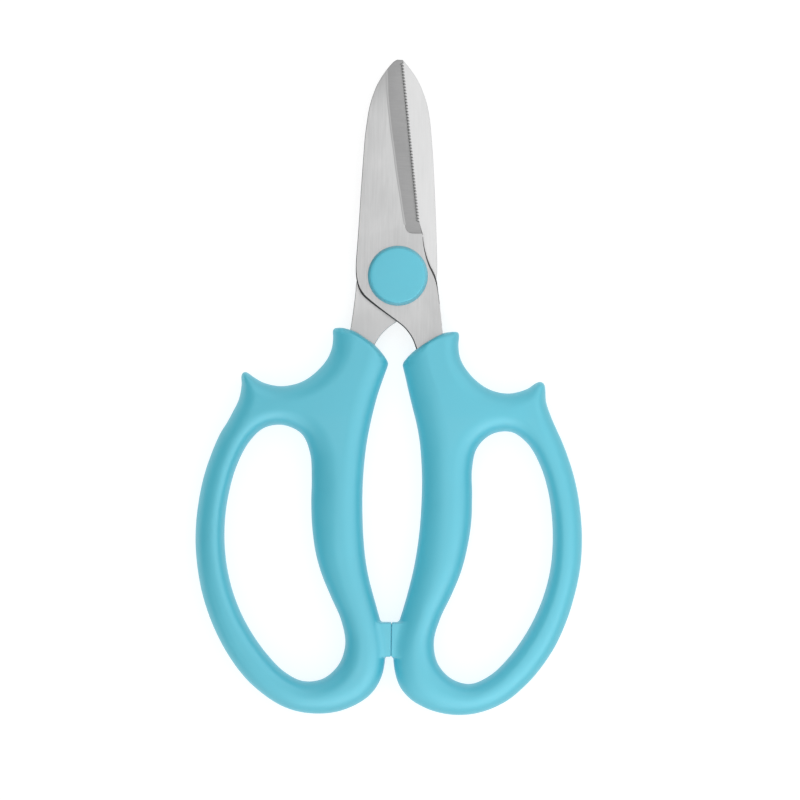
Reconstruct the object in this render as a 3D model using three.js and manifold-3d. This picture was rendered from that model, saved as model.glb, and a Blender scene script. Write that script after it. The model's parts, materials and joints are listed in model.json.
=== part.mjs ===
// Floral snips with two finger-loop handles and short, wide, pointed blades.
//
// Units are millimetres.  The outlines are laid out in the tool's own plane:
// the pivot axis is at x = 0, y = 0, the blade tips point to +Y, the finger loops
// to -Y, and z = 0 is the shear plane between the two blades, with the capped
// front face towards +Z.  At the end the whole tool is shifted so that the origin
// is the bottom centre of its bounding box: the snips lie flat on z = 0, closed.
//
// Two halves turn on one shouldered pivot bolt:
//   front half: front_blade + right_handle + pivot bolt, nut, washers and caps
//   rear half:  rear_blade + left_handle
import * as THREE from "three";
import { mergeVertices } from "three/addons/utils/BufferGeometryUtils.js";
import Module from "manifold-3d";

// ---------------------------------------------------------------- dimensions
const BLADE_T = 2.0; // blade stock
const SHEAR_GAP = 0.05; // each blade's inner face to the shear plane
const BEVEL_DROP = 1.5; // depth of the ground bevel at the cutting edge
const TOOTH_PITCH = 0.95; // micro-serration on the front blade's edge
const TOOTH_DEPTH = 0.28;

const HANDLE_HALF = 6.0; // half of the handle's thickness
const ROUND_SOFT = 3.5; // width of the rounded flank all round the grips
const ROUND_END = 1.3; // the same at the collar's end, where the blade comes out
const FLANK = [0, 0.13, 0.38, 0.68, 1]; // shares of that width where the section has a vertex
const GRIP_STEP = 2.6; // spacing of vertices along the grips
const TANG_GAP = 0.2; // moulding clearance round the tang

const NUB_HALF_T = 3.6; // handle stop, half thickness
const NUB_GAP = 0.12; // each stop's face to the closing plane

const NECK_R = 3.0, NECK_FLAT = 2.5; // double-D neck in the front blade
const NECK_HOLE_R = 3.1, NECK_HOLE_FLAT = 2.6;
const JOURNAL_R = 2.45, JOURNAL_HOLE_R = 2.53; // round journal in the rear blade
const THREAD_R = 1.95, NUT_BORE_R = 2.03;
const HEAD_R = 6.0, HEAD_T = 1.2;
const CAP_R = 9.26;
const TANG_HOLE_R = 1.8;

const ROUND = 48; // facets on a full circle

const FRAME_X = -1.335, FRAME_Y = -34.5; // centre of the closed tool's box, from the pivot

// ---------------------------------------------------------------- outlines
// Grip outlines and finger holes, each a closed smooth curve, anticlockwise.
const RIGHT_GRIP = [[18.76, -17.34], [15.37, -16.95], [11.1, -19.02], [7.44, -21.55], [4.05, -23.82], [2.02, -27.04], [2.69, -31.06],
  [3.98, -35.81], [5.27, -40.73], [6.41, -44.89], [7.53, -50.3], [8.25, -56.6], [8.6, -63.22], [8.55, -71.11], [8.14, -78.52],
  [7.35, -85.5], [6.4, -91.2], [5.1, -96.93], [3.5, -103.03], [1.75, -109.2], [0.72, -116.4], [1.45, -123.2], [3.3, -127.7],
  [6.5, -131.1], [10.2, -133.25], [14.2, -134.7], [19.6, -135.55], [25.3, -135.25], [30.0, -134.0], [33.8, -132.3], [37.2, -130.2],
  [40.8, -127.05], [44.0, -123.7], [46.6, -120.4], [48.7, -117.3], [50.6, -114.1], [52.2, -110.8], [53.6, -107.4], [55.0, -103.4],
  [56.2, -99.05], [57.25, -94.6], [58.1, -89.4], [58.5, -83.5], [58.35, -77.2], [57.7, -71.0], [56.7, -65.3], [55.3, -59.9],
  [53.6, -54.9], [51.8, -50.4], [50.0, -46.6], [48.2, -42.66], [46.5, -38.07], [45.97, -33.3], [43.54, -32.4], [40.52, -34.0],
  [35.32, -35.38], [29.56, -34.7], [25.24, -32.26], [21.67, -28.51], [19.81, -25.11], [19.03, -21.24]];
const RIGHT_HOLE = [[36.04, -47.73], [30.05, -48.46], [25.56, -52.71], [24.08, -59.26], [24.25, -67.3], [24.15, -75.35], [23.13, -83.28],
  [21.29, -91.08], [18.45, -98.38], [15.11, -105.72], [13.24, -112.97], [14.52, -119.67], [18.76, -124.31], [24.74, -125.88],
  [30.95, -123.03], [36.45, -117.56], [40.98, -111.16], [44.54, -104.42], [47.22, -97.23], [48.9, -89.59], [49.43, -81.57],
  [49.01, -73.54], [47.69, -65.62], [45.19, -58.02], [41.2, -51.31]];
const LEFT_GRIP = [[-46.74, -30.92], [-48.2, -33.36], [-48.69, -38.28], [-50.36, -42.48], [-52.3, -46.1], [-54.05, -49.6], [-55.65, -53.2],
  [-57.0, -56.8], [-58.25, -60.6], [-59.4, -65.1], [-60.4, -70.8], [-61.05, -76.9], [-61.15, -83.6], [-60.6, -90.0], [-59.6, -95.9],
  [-58.4, -100.7], [-57.0, -104.9], [-55.45, -108.8], [-53.6, -112.7], [-51.6, -116.3], [-49.35, -119.8], [-46.8, -123.2],
  [-43.8, -126.5], [-40.4, -129.4], [-36.7, -132.0], [-32.7, -134.1], [-27.9, -135.5], [-21.9, -135.95], [-16.6, -135.3],
  [-12.5, -133.9], [-9.1, -132.1], [-6.4, -130.0], [-4.2, -127.2], [-2.4, -122.9], [-1.75, -115.6], [-3.05, -108.5],
  [-4.8, -102.3], [-6.3, -97.3], [-7.6, -92.3], [-8.6, -86.6], [-9.3, -79.5], [-9.65, -72.1], [-9.68, -64.9], [-9.36, -58.5],
  [-8.75, -52.4], [-7.9, -47.2], [-6.82, -41.99], [-5.62, -37.12], [-4.19, -32.09], [-2.83, -27.71], [-3.9, -24.33],
  [-6.87, -21.58], [-10.12, -19.13], [-13.2, -17.3], [-17.26, -16.22], [-19.93, -17.27], [-20.22, -21.54], [-21.06, -25.26],
  [-23.47, -28.82], [-27.79, -32.21], [-32.12, -34.0], [-36.82, -34.33], [-41.23, -33.23], [-44.22, -31.65]];
const LEFT_HOLE = [[-28.98, -49.38], [-34.96, -46.8], [-40.71, -47.92], [-45.25, -52.46], [-48.75, -59.52], [-50.88, -67.09],
  [-52.02, -74.89], [-52.17, -82.78], [-51.3, -90.75], [-49.4, -98.34], [-46.63, -105.26], [-42.91, -111.79], [-38.23, -118.0],
  [-32.86, -123.2], [-27.03, -125.94], [-20.91, -125.07], [-16.1, -120.56], [-14.23, -114.15], [-15.64, -106.86],
  [-18.86, -99.79], [-21.93, -92.7], [-23.85, -86.3], [-25.06, -78.74], [-25.55, -70.87], [-25.55, -62.97], [-26.2, -55.31]];
// The stretch of each grip outline that is the collar's end, between its two corners.
const RIGHT_END = [[17.6, -16.9], [15.37, -16.95], [11.1, -19.02], [7.44, -21.55], [4.05, -23.82], [2.6, -25.6]];
const LEFT_END = [[-3.3, -25.6], [-3.9, -24.33], [-6.87, -21.58], [-10.12, -19.13], [-13.2, -17.3], [-17.26, -16.22], [-18.6, -16.3]];

// Blade outlines, anticlockwise: spine from the tip down, heel, tang, shoulder, then the straight cutting edge back to the tip.
const FRONT_TIP = [0.4, 66.91];
const FRONT_SPINE = [[-1.45, 66.93], [-2.35, 66.35], [-3.3, 65.35], [-4.4, 63.95], [-5.75, 62.0], [-6.65, 60.5], [-7.65, 58.6],
  [-8.45, 56.45], [-9.2, 54.2], [-9.9, 51.2], [-10.42, 47.5], [-10.93, 43.2], [-11.25, 38.2], [-11.55, 32.7], [-11.9, 26.5],
  [-12.16, 20.3], [-12.46, 14.1], [-12.82, 7.9], [-13.06, 3.0], [-12.98, 0.2], [-12.5, -2.6], [-11.7, -4.8], [-10.6, -6.4],
  [-8.92, -7.83], [-6.06, -9.98], [-3.2, -11.97], [-0.3, -14.0], [2.01, -15.75], [3.6, -17.52], [4.9, -19.54], [5.84, -21.85],
  [6.7, -24.4], [8.1, -28.8], [9.6, -34.0], [11.0, -40.0], [12.1, -47.0], [12.7, -54.0], [12.8, -60.6]];
const FRONT_TANG_END = [[13.4, -62.9], [16.2, -64.2], [19.0, -62.9]];
const FRONT_BACK = [[19.6, -60.6], [19.5, -54.0], [19.0, -47.0], [18.1, -40.0], [16.9, -34.0], [15.6, -27.0], [14.7, -21.2],
  [14.12, -16.77], [13.21, -9.34], [12.5, -4.24], [12.0, -1.2], [11.2, 1.0], [9.91, 3.4], [8.67, 6.6], [7.83, 10.09], [7.4, 13.15]];
const FRONT_HEEL = [6.32, 16.48]; // where the cutting edge starts
const FRONT_BEVEL = [[-5.45, 68.6], [-4.95, 65.6], [-4.71, 63.19], [-4.46, 61.2], [-4.08, 56.07], [-3.5, 50.6], [-2.55, 44.3], [-1.6, 38.63], [-0.89, 34.15],
  [-0.05, 29.0], [0.65, 25.15], [1.27, 21.6], [1.92, 17.83], [2.42, 15.0], [2.9, 12.2]]; // upper line of the ground bevel
const FRONT_BEVEL_END = [[2.42, 15.0], [2.75, 14.15], [3.35, 13.5], [4.2, 13.2], [5.4, 13.15], [9.4, 13.15]];
const REAR_TIP = [-2.14, 66.9];
const REAR_SPINE = [[-0.25, 66.95], [0.42, 66.72], [0.95, 66.2], [1.55, 65.5], [2.3, 64.6], [3.1, 63.6], [4.2, 62.1], [5.05, 60.75],
  [6.0, 58.95], [6.9, 56.8], [7.72, 54.5], [8.5, 51.5], [9.15, 47.8], [9.63, 43.5], [10.1, 38.6], [10.52, 33.1], [10.92, 26.9],
  [11.3, 20.7], [11.63, 14.5], [11.95, 8.3], [12.12, 3.6], [12.08, 0.6], [11.7, -2.2], [10.95, -4.8], [9.8, -6.6],
  [8.1, -8.2], [5.3, -10.3], [2.4, -12.35], [-0.58, -14.5], [-3.12, -16.45], [-5.13, -18.67], [-6.63, -21.18],
  [-7.6, -24.4], [-9.0, -28.8], [-10.5, -34.0], [-11.9, -40.0], [-13.1, -47.0], [-13.9, -54.0], [-14.1, -60.6]];
const REAR_TANG_END = [[-14.7, -62.9], [-17.5, -64.2], [-20.3, -62.9]];
const REAR_BACK = [[-20.9, -60.6], [-20.7, -54.0], [-20.1, -47.0], [-19.1, -40.0], [-17.9, -34.0], [-16.4, -27.0], [-15.2, -21.2],
  [-14.29, -16.05], [-13.75, -11.92], [-13.1, -6.0], [-12.85, -2.6], [-12.2, 0.6], [-11.0, 3.2], [-9.65, 6.6], [-8.75, 10.1], [-8.3, 13.15]];
const REAR_HEEL = [-7.2, 16.5];
const REAR_BEVEL = [[3.75, 68.6], [3.3, 65.6], [3.1, 63.2], [2.9, 61.2], [2.56, 56.1], [2.05, 50.6], [1.2, 44.3], [0.35, 38.6], [-0.3, 34.15],
  [-1.05, 29.0], [-1.68, 25.15], [-2.25, 21.6], [-2.83, 17.83], [-3.3, 15.0], [-3.75, 12.2]];
const REAR_BEVEL_END = [[-3.3, 15.0], [-3.63, 14.15], [-4.23, 13.5], [-5.1, 13.2], [-6.3, 13.15], [-10.3, 13.15]];
// Moulded-through holes in each tang.
const FRONT_TANG_HOLES = [[13.6, -35.5], [15.9, -52.5]];
const REAR_TANG_HOLES = [[-14.5, -35.5], [-17.2, -52.5]];

// ---------------------------------------------------------------- helpers
const wasm = await Module();
wasm.setup();

// A closed mesh as a solid, and back.
function solid(geometry) {
  const g = (geometry.index ? geometry.toNonIndexed() : geometry).clone();
  for (const name of Object.keys(g.attributes)) if (name !== "position") g.deleteAttribute(name);
  const m = mergeVertices(g, 1e-4);
  return new wasm.Manifold(new wasm.Mesh({
    numProp: 3,
    vertProperties: new Float32Array(m.attributes.position.array),
    triVerts: new Uint32Array(m.index.array),
  }));
}
function geometryOf(made) {
  const m = made.getMesh(), n = m.numProp;
  const v = new Float32Array(m.numVert * 3);
  for (let i = 0; i < m.numVert; i++) v.set(m.vertProperties.subarray(i * n, i * n + 3), i * 3);
  const g = new THREE.BufferGeometry();
  g.setAttribute("position", new THREE.BufferAttribute(v, 3));
  g.setIndex(new THREE.BufferAttribute(new Uint32Array(m.triVerts), 1));
  const flat = g.toNonIndexed();
  flat.computeVertexNormals();
  return flat;
}

// Points along a smooth curve through the given points, about `step` apart.
function smooth(points, step, closed = false) {
  const curve = new THREE.CatmullRomCurve3(points.map(([x, y]) => new THREE.Vector3(x, y, 0)), closed, "centripetal");
  curve.arcLengthDivisions = points.length * 24;
  const n = Math.max(2, Math.round(curve.getLength() / step));
  const out = curve.getSpacedPoints(n).map((p) => [p.x, p.y]);
  if (closed) out.pop();
  return out;
}
// Every given point stays a vertex, with `between` more on each span.
function through(points, between = 1) {
  const curve = new THREE.CatmullRomCurve3(points.map(([x, y]) => new THREE.Vector3(x, y, 0)), false, "centripetal");
  const n = (points.length - 1) * (between + 1);
  return curve.getPoints(n).map((p) => [p.x, p.y]);
}
const shapeOf = (loop, holes = []) => {
  const s = new THREE.Shape(loop.map(([x, y]) => new THREE.Vector2(x, y)));
  for (const h of holes) s.holes.push(new THREE.Path(h.map(([x, y]) => new THREE.Vector2(x, y))));
  return s;
};
function extrude(loop, z0, z1, holes = []) {
  const g = new THREE.ExtrudeGeometry(shapeOf(loop, holes), { depth: z1 - z0, bevelEnabled: false, curveSegments: 1 });
  g.translate(0, 0, z0);
  return g;
}
function circle(cx, cy, r, n = ROUND) {
  return Array.from({ length: n }, (_, i) => {
    const a = ((i + 0.5) / n) * 2 * Math.PI;
    return [cx + r * Math.cos(a), cy + r * Math.sin(a)];
  });
}
// A circle with two flats, across X.
function doubleD(r, flat, n = ROUND) {
  return circle(0, 0, r, n).map(([x, y]) => [Math.max(-flat, Math.min(flat, x)), y]);
}
const lathe = (profile, n = ROUND) => {
  const g = new THREE.LatheGeometry(profile.map(([r, z]) => new THREE.Vector2(r, z)), n);
  g.rotateX(Math.PI / 2); // its axis from Y to Z
  return g;
};
// An outline moved outwards by `d`, for clearances.
function grow(loop, d) {
  const n = loop.length;
  const area = loop.reduce((a, p, i) => a + p[0] * loop[(i + 1) % n][1] - loop[(i + 1) % n][0] * p[1], 0);
  const sign = area > 0 ? 1 : -1;
  return loop.map((p, i) => {
    const a = loop[(i - 1 + n) % n], b = loop[(i + 1) % n];
    const e0 = new THREE.Vector2(p[0] - a[0], p[1] - a[1]).normalize();
    const e1 = new THREE.Vector2(b[0] - p[0], b[1] - p[1]).normalize();
    const m = new THREE.Vector2(e0.y + e1.y, -(e0.x + e1.x)).normalize();
    const c = Math.max(0.5, m.x * e0.y - m.y * e0.x);
    return [p[0] + (sign * m.x * d) / c, p[1] + (sign * m.y * d) / c];
  });
}

// ---------------------------------------------------------------- grips
function distanceTo(line, x, y, closed) {
  let best = Infinity;
  const n = line.length;
  for (let i = 0; i < (closed ? n : n - 1); i++) {
    const [ax, ay] = line[i], [bx, by] = line[(i + 1) % n];
    const dx = bx - ax, dy = by - ay;
    const t = Math.max(0, Math.min(1, ((x - ax) * dx + (y - ay) * dy) / (dx * dx + dy * dy)));
    best = Math.min(best, (x - ax - t * dx) ** 2 + (y - ay - t * dy) ** 2);
  }
  return Math.sqrt(best);
}
function inside(loop, x, y) {
  let odd = false;
  for (let i = 0, j = loop.length - 1; i < loop.length; j = i++) {
    const [xi, yi] = loop[i], [xj, yj] = loop[j];
    if (yi > y !== yj > y && x < ((xj - xi) * (y - yi)) / (yj - yi) + xi) odd = !odd;
  }
  return odd;
}
// Closed lines where a function sampled on a grid crosses a level.
function levelLines(f, nx, ny, x0, y0, cell, level) {
  const next = new Map();
  const at = (i, j) => f[j * nx + i] - level;
  const cross = (i0, j0, i1, j1) => {
    const a = at(i0, j0), b = at(i1, j1), t = a / (a - b);
    return { key: `${i0},${j0},${i1},${j1}`, p: [x0 + cell * (i0 + t * (i1 - i0)), y0 + cell * (j0 + t * (j1 - j0))] };
  };
  for (let j = 0; j < ny - 1; j++)
    for (let i = 0; i < nx - 1; i++) {
      const c = [at(i, j) > 0, at(i + 1, j) > 0, at(i + 1, j + 1) > 0, at(i, j + 1) > 0];
      const sides = [[0, 1, i, j, i + 1, j], [1, 2, i + 1, j, i + 1, j + 1], [3, 2, i, j + 1, i + 1, j + 1], [0, 3, i, j, i, j + 1]]
        .filter(([a, b]) => c[a] !== c[b]).map((s) => cross(...s.slice(2)));
      for (let k = 0; k + 1 < sides.length; k += 2)
        for (const [a, b] of [[sides[k], sides[k + 1]], [sides[k + 1], sides[k]]]) {
          if (!next.has(a.key)) next.set(a.key, { p: a.p, to: [] });
          next.get(a.key).to.push(b.key);
        }
    }
  const loops = [], seen = new Set();
  for (const start of next.keys()) {
    if (seen.has(start)) continue;
    const loop = [];
    let at1 = start;
    while (at1 !== undefined && !seen.has(at1)) {
      seen.add(at1);
      loop.push(next.get(at1).p);
      at1 = next.get(at1).to.find((k) => !seen.has(k));
    }
    if (loop.length > 12) loops.push(loop);
  }
  return loops;
}
const areaOf = (loop) => loop.reduce((a, p, i) => a + p[0] * loop[(i + 1) % loop.length][1] - loop[(i + 1) % loop.length][0] * p[1], 0) / 2;
const turned = (loop, sign) => (Math.sign(areaOf(loop)) === sign ? loop : [...loop].reverse());
// Vertices of a polyline, about `step` apart by arc length.
function respace(loop, step) {
  const n = loop.length, s = [0];
  for (let i = 1; i <= n; i++) s.push(s[i - 1] + Math.hypot(loop[i % n][0] - loop[i - 1][0], loop[i % n][1] - loop[i - 1][1]));
  const m = Math.max(12, Math.round(s[n] / step)), out = [];
  for (let k = 0, i = 0; k < m; k++) {
    const d = (k / m) * s[n];
    while (s[i + 1] < d) i++;
    const t = (d - s[i]) / (s[i + 1] - s[i]);
    out.push([loop[i][0] + t * (loop[(i + 1) % n][0] - loop[i][0]), loop[i][1] + t * (loop[(i + 1) % n][1] - loop[i][1])]);
  }
  return out;
}

// Triangles between two rings, one just inside the other, always across the shorter diagonal.
function band(a, b, za, zb, tris) {
  const n = a.length, m = b.length;
  const dist = (p, q) => Math.hypot(p[0] - q[0], p[1] - q[1]);
  const turn = (p, q, r) => (q[0] - p[0]) * (r[1] - p[1]) - (q[1] - p[1]) * (r[0] - p[0]);
  let shift = 0;
  for (let j = 0; j < m; j++) if (dist(a[0], b[j]) < dist(a[0], b[shift])) shift = j;
  const A = (i) => a[i % n], B = (j) => b[(j + shift) % m];
  let i = 0, j = 0;
  const made = [];
  while (i < n || j < m) {
    const overA = j >= m || (i < n && dist(A(i + 1), B(j)) <= dist(A(i), B(j + 1)));
    if (overA) made.push([A(i), A(i + 1), B(j), 0]), i++;
    else made.push([A(i), B(j + 1), B(j), 1]), j++;
  }
  const proper = made.every(([p, q, r]) => turn(p, q, r) > 1e-7);
  if (proper) {
    for (const [p, q, r, kind] of made) tris.push([[...p, za], [...q, kind ? zb : za], [...r, zb]]);
    return;
  }
  const pts = [...a, ...b], z = [...a.map(() => za), ...b.map(() => zb)];
  const area = (l) => l.reduce((t, p, k) => t + p[0] * l[(k + 1) % l.length][1] - l[(k + 1) % l.length][0] * p[1], 0);
  const wide = Math.abs(area(a)) > Math.abs(area(b));
  const v = (l) => l.map(([x, y]) => new THREE.Vector2(x, y));
  const faces = wide ? THREE.ShapeUtils.triangulateShape(v(a), [v(b)]) : THREE.ShapeUtils.triangulateShape(v(b), [v(a)]);
  const index = (k) => (wide ? k : k < m ? n + k : k - m);
  for (const f of faces) {
    let [p, q, r] = f.map(index);
    if (turn(pts[p], pts[q], pts[r]) < 0) [q, r] = [r, q];
    tris.push([p, q, r].map((k) => [...pts[k], z[k]]));
  }
}

// A grip: flat on top and underneath, with a rounded flank whose width is ROUND_SOFT, and ROUND_END at the collar's end.
function grip(outline, hole, end) {
  const fineOuter = smooth(outline, 0.8, true), fineHole = smooth(hole, 0.8, true), fineEnd = through(end, 3);
  const soft = fineOuter.filter(([x, y]) => distanceTo(fineEnd, x, y, false) > 0.35);
  // soft is the outline without the collar's end, opened where that end was
  const cut = soft.findIndex((p, i) => Math.hypot(p[0] - soft[(i + 1) % soft.length][0], p[1] - soft[(i + 1) % soft.length][1]) > 3);
  const open = [...soft.slice(cut + 1), ...soft.slice(0, cut + 1)];
  const cell = 0.55;
  const xs = fineOuter.map((p) => p[0]), ys = fineOuter.map((p) => p[1]);
  const x0 = Math.min(...xs) - 1, y0 = Math.min(...ys) - 1;
  const nx = Math.ceil((Math.max(...xs) + 1 - x0) / cell), ny = Math.ceil((Math.max(...ys) + 1 - y0) / cell);
  const f = new Float64Array(nx * ny);
  for (let j = 0; j < ny; j++)
    for (let i = 0; i < nx; i++) {
      const x = x0 + i * cell, y = y0 + j * cell;
      const within = inside(fineOuter, x, y) && !inside(fineHole, x, y);
      const a = Math.min(distanceTo(open, x, y, false), distanceTo(fineHole, x, y, true)) / ROUND_SOFT;
      const b = distanceTo(fineEnd, x, y, false) / ROUND_END;
      f[j * nx + i] = within ? Math.min(a, b) : -Math.min(a, b);
    }
  const rings = FLANK.map((level) => {
    if (level === 0) return { outer: turned(respace(fineOuter, GRIP_STEP * 0.8), 1), hole: turned(respace(fineHole, GRIP_STEP), -1) };
    const loops = levelLines(f, nx, ny, x0, y0, cell, level).sort((a, b) => Math.abs(areaOf(b)) - Math.abs(areaOf(a)));
    return { outer: turned(respace(loops[0], GRIP_STEP), 1), hole: turned(respace(loops[1], GRIP_STEP), -1) };
  });
  const tris = [];
  const put = (points, z, faces) => {
    for (const [a, b, c] of faces) {
      const [pa, pb, pc] = [a, b, c].map((i) => [points[i].p[0], points[i].p[1], z[points[i].k]]);
      tris.push([pa, pb, pc]);
    }
  };
  const heights = FLANK.map((s) => HANDLE_HALF * Math.sqrt(1 - (1 - s) ** 2));
  const face = (contour, holes, kOf) => {
    const c = contour.map(([x, y]) => new THREE.Vector2(x, y));
    const h = holes.map((l) => l.map(([x, y]) => new THREE.Vector2(x, y)));
    const faces = THREE.ShapeUtils.triangulateShape(c, h);
    return { faces, points: [...contour.map((p) => ({ p, k: kOf[0] })), ...holes.flat().map((p) => ({ p, k: kOf[1] }))] };
  };
  const ccw = (pts, faces) => faces.map(([a, b, c]) => {
    const [p, q, r] = [a, b, c].map((i) => pts[i].p);
    return (q[0] - p[0]) * (r[1] - p[1]) - (q[1] - p[1]) * (r[0] - p[0]) > 0 ? [a, b, c] : [a, c, b];
  });
  for (let k = 0; k + 1 < FLANK.length; k++) {
    // between one ring and the next, round the outside and round the finger hole
    band(rings[k].outer, rings[k + 1].outer, heights[k], heights[k + 1], tris);
    band(rings[k + 1].hole, rings[k].hole, heights[k + 1], heights[k], tris);
  }
  const last = FLANK.length - 1;
  const top = face(rings[last].outer, [rings[last].hole], [last, last]);
  put(top.points, heights, ccw(top.points, top.faces));
  const all = [];
  for (const [a, b, c] of tris) {
    all.push(...a, ...b, ...c); // front
    all.push(a[0], a[1], -a[2], c[0], c[1], -c[2], b[0], b[1], -b[2]); // back
  }
  const g = new THREE.BufferGeometry();
  g.setAttribute("position", new THREE.BufferAttribute(new Float32Array(all), 3));
  return solid(g);
}

// The stop on the inside of each grip, with small fillets where it leaves the grip.
function nub(side) {
  const x = (v) => side * v;
  const profile = [[NUB_GAP, -107.35], [NUB_GAP, -117.75], [0.9, -118.1], [1.35, -118.9], [1.8, -120.6], [5.2, -120.6], [5.2, -105.0], [3.6, -105.0], [3.25, -106.1], [2.7, -106.95], [1.6, -107.3]]
    .map(([a, b]) => [x(a), b]);
  return solid(extrude(turned(profile, 1), -NUB_HALF_T, NUB_HALF_T));
}

// ---------------------------------------------------------------- blades
function bladeLoop(tip, spine, tangEnd, back, heel, serrated) {
  const edge = [];
  if (serrated) {
    // fine teeth along the straight edge, cut back from the edge line
    const dx = tip[0] - heel[0], dy = tip[1] - heel[1], length = Math.hypot(dx, dy);
    const n = Math.floor((length - 1.2) / TOOTH_PITCH), nx = dy / length, ny = -dx / length;
    for (let i = 0; i < n; i++) {
      const a = (0.6 + i * TOOTH_PITCH) / length, b = (0.6 + (i + 0.5) * TOOTH_PITCH) / length;
      edge.push([heel[0] + dx * a, heel[1] + dy * a]);
      edge.push([heel[0] + dx * b - nx * TOOTH_DEPTH, heel[1] + dy * b - ny * TOOTH_DEPTH]);
    }
    edge.push([heel[0] + (dx * (0.6 + n * TOOTH_PITCH)) / length, heel[1] + (dy * (0.6 + n * TOOTH_PITCH)) / length]);
  }
  return turned([...through(spine, 1), ...through([spine.at(-1), ...tangEnd, back[0]], 2).slice(1, -1), ...through(back, 1), heel, ...edge, tip], 1);
}
// What the grinding wheel takes away: above a sloping face that falls from the bevel line to the cutting edge.
function bevelCutter(line, end, tip, heel, face, out) {
  const side = Math.sign(heel[0] - line.at(-1)[0]); // the edge lies on this side of the bevel line
  const edgeX = (y) => heel[0] + ((tip[0] - heel[0]) * (y - heel[1])) / (tip[1] - heel[1]);
  const stations = line.map(([x, y]) => {
    const w = Math.max(1.5, Math.abs(edgeX(y) - x)), slope = BEVEL_DROP / w, m = 1.2;
    return [
      [x - side * m, y, face + out * m * slope],
      [x + side * (w + m + 3), y, face - out * slope * (w + m + 3)],
      [x + side * (w + m + 3), y, face + out * m * slope + out * 0.5],
    ];
  });
  const v = [], tri = (a, b, c) => v.push(...a, ...b, ...c);
  for (let i = 0; i + 1 < stations.length; i++)
    for (let k = 0; k < 3; k++) {
      const [a, b] = [stations[i][k], stations[i][(k + 1) % 3]], [c, d] = [stations[i + 1][k], stations[i + 1][(k + 1) % 3]];
      tri(a, b, d);
      tri(a, d, c);
    }
  tri(stations[0][2], stations[0][1], stations[0][0]);
  tri(stations.at(-1)[0], stations.at(-1)[1], stations.at(-1)[2]);
  const g = new THREE.BufferGeometry();
  g.setAttribute("position", new THREE.BufferAttribute(new Float32Array(v), 3));
  let wedge = solid(g);
  if (wedge.volume() < 0) {
    for (let i = 0; i < v.length; i += 9) for (let k = 0; k < 3; k++) [v[i + 3 + k], v[i + 6 + k]] = [v[i + 6 + k], v[i + 3 + k]];
    g.setAttribute("position", new THREE.BufferAttribute(new Float32Array(v), 3));
    wedge = solid(g);
  }
  // the plan of the ground area, with its rounded lower end
  const far = side * 14;
  const plan = turned([...line.slice(0, -2).map(([x, y]) => [x - side * 3 * (y > 62 ? 1 : 0), y]), ...end, [end.at(-1)[0] + far, end.at(-1)[1]], [line[0][0] + far, line[0][1]]], 1);
  const region = solid(extrude(plan, Math.min(face - out * 6, face + out * 6), Math.max(face - out * 6, face + out * 6)));
  return wedge.intersect(region);
}
function blade({ tip, spine, tangEnd, back, heel, line, end, tangHoles, z0, z1, out, pivotHole, serrated }) {
  const loop = bladeLoop(tip, spine, tangEnd, back, heel, serrated);
  const holes = [pivotHole, ...tangHoles.map(([x, y]) => circle(x, y, TANG_HOLE_R, 24))];
  const body = solid(extrude(loop, z0, z1, holes));
  return body.subtract(bevelCutter(line, end, tip, heel, out > 0 ? z1 : z0, out));
}
const FRONT_Z = [SHEAR_GAP, SHEAR_GAP + BLADE_T];
const REAR_Z = [-SHEAR_GAP - BLADE_T, -SHEAR_GAP];
const frontBlade = blade({
  tip: FRONT_TIP, spine: FRONT_SPINE, tangEnd: FRONT_TANG_END, back: FRONT_BACK, heel: FRONT_HEEL, line: FRONT_BEVEL, end: FRONT_BEVEL_END,
  tangHoles: FRONT_TANG_HOLES, z0: FRONT_Z[0], z1: FRONT_Z[1], out: 1, pivotHole: doubleD(NECK_HOLE_R, NECK_HOLE_FLAT), serrated: true,
});
const rearBlade = blade({
  tip: REAR_TIP, spine: REAR_SPINE, tangEnd: REAR_TANG_END, back: REAR_BACK, heel: REAR_HEEL, line: REAR_BEVEL, end: REAR_BEVEL_END,
  tangHoles: REAR_TANG_HOLES, z0: REAR_Z[0], z1: REAR_Z[1], out: -1, pivotHole: circle(0, 0, JOURNAL_HOLE_R), serrated: false,
});
// The pocket that each tang fills, with posts of handle material through the tang's holes.
function pocket(tip, spine, tangEnd, back, heel, tangHoles, z) {
  const loop = grow(bladeLoop(tip, spine, tangEnd, back, heel, false), TANG_GAP);
  return solid(extrude(loop, z[0] - TANG_GAP, z[1] + TANG_GAP, tangHoles.map(([x, y]) => circle(x, y, TANG_HOLE_R - TANG_GAP, 24))));
}
const rightHandle = grip(RIGHT_GRIP, RIGHT_HOLE, RIGHT_END).add(nub(1))
  .subtract(pocket(FRONT_TIP, FRONT_SPINE, FRONT_TANG_END, FRONT_BACK, FRONT_HEEL, FRONT_TANG_HOLES, FRONT_Z));
const leftHandle = grip(LEFT_GRIP, LEFT_HOLE, LEFT_END).add(nub(-1))
  .subtract(pocket(REAR_TIP, REAR_SPINE, REAR_TANG_END, REAR_BACK, REAR_HEEL, REAR_TANG_HOLES, REAR_Z));

// ---------------------------------------------------------------- pivot
const FRONT_FACE = FRONT_Z[1], REAR_FACE = REAR_Z[0];
const SHOULDER_Z = REAR_FACE - 0.65; // the nut stops here, so the joint keeps its running fit
const WASHER_Z = [FRONT_FACE + 0.03, FRONT_FACE + 0.33];
const HEAD_Z = WASHER_Z[1] + 0.03;
const THREAD_END = SHOULDER_Z - 2.0;

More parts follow.
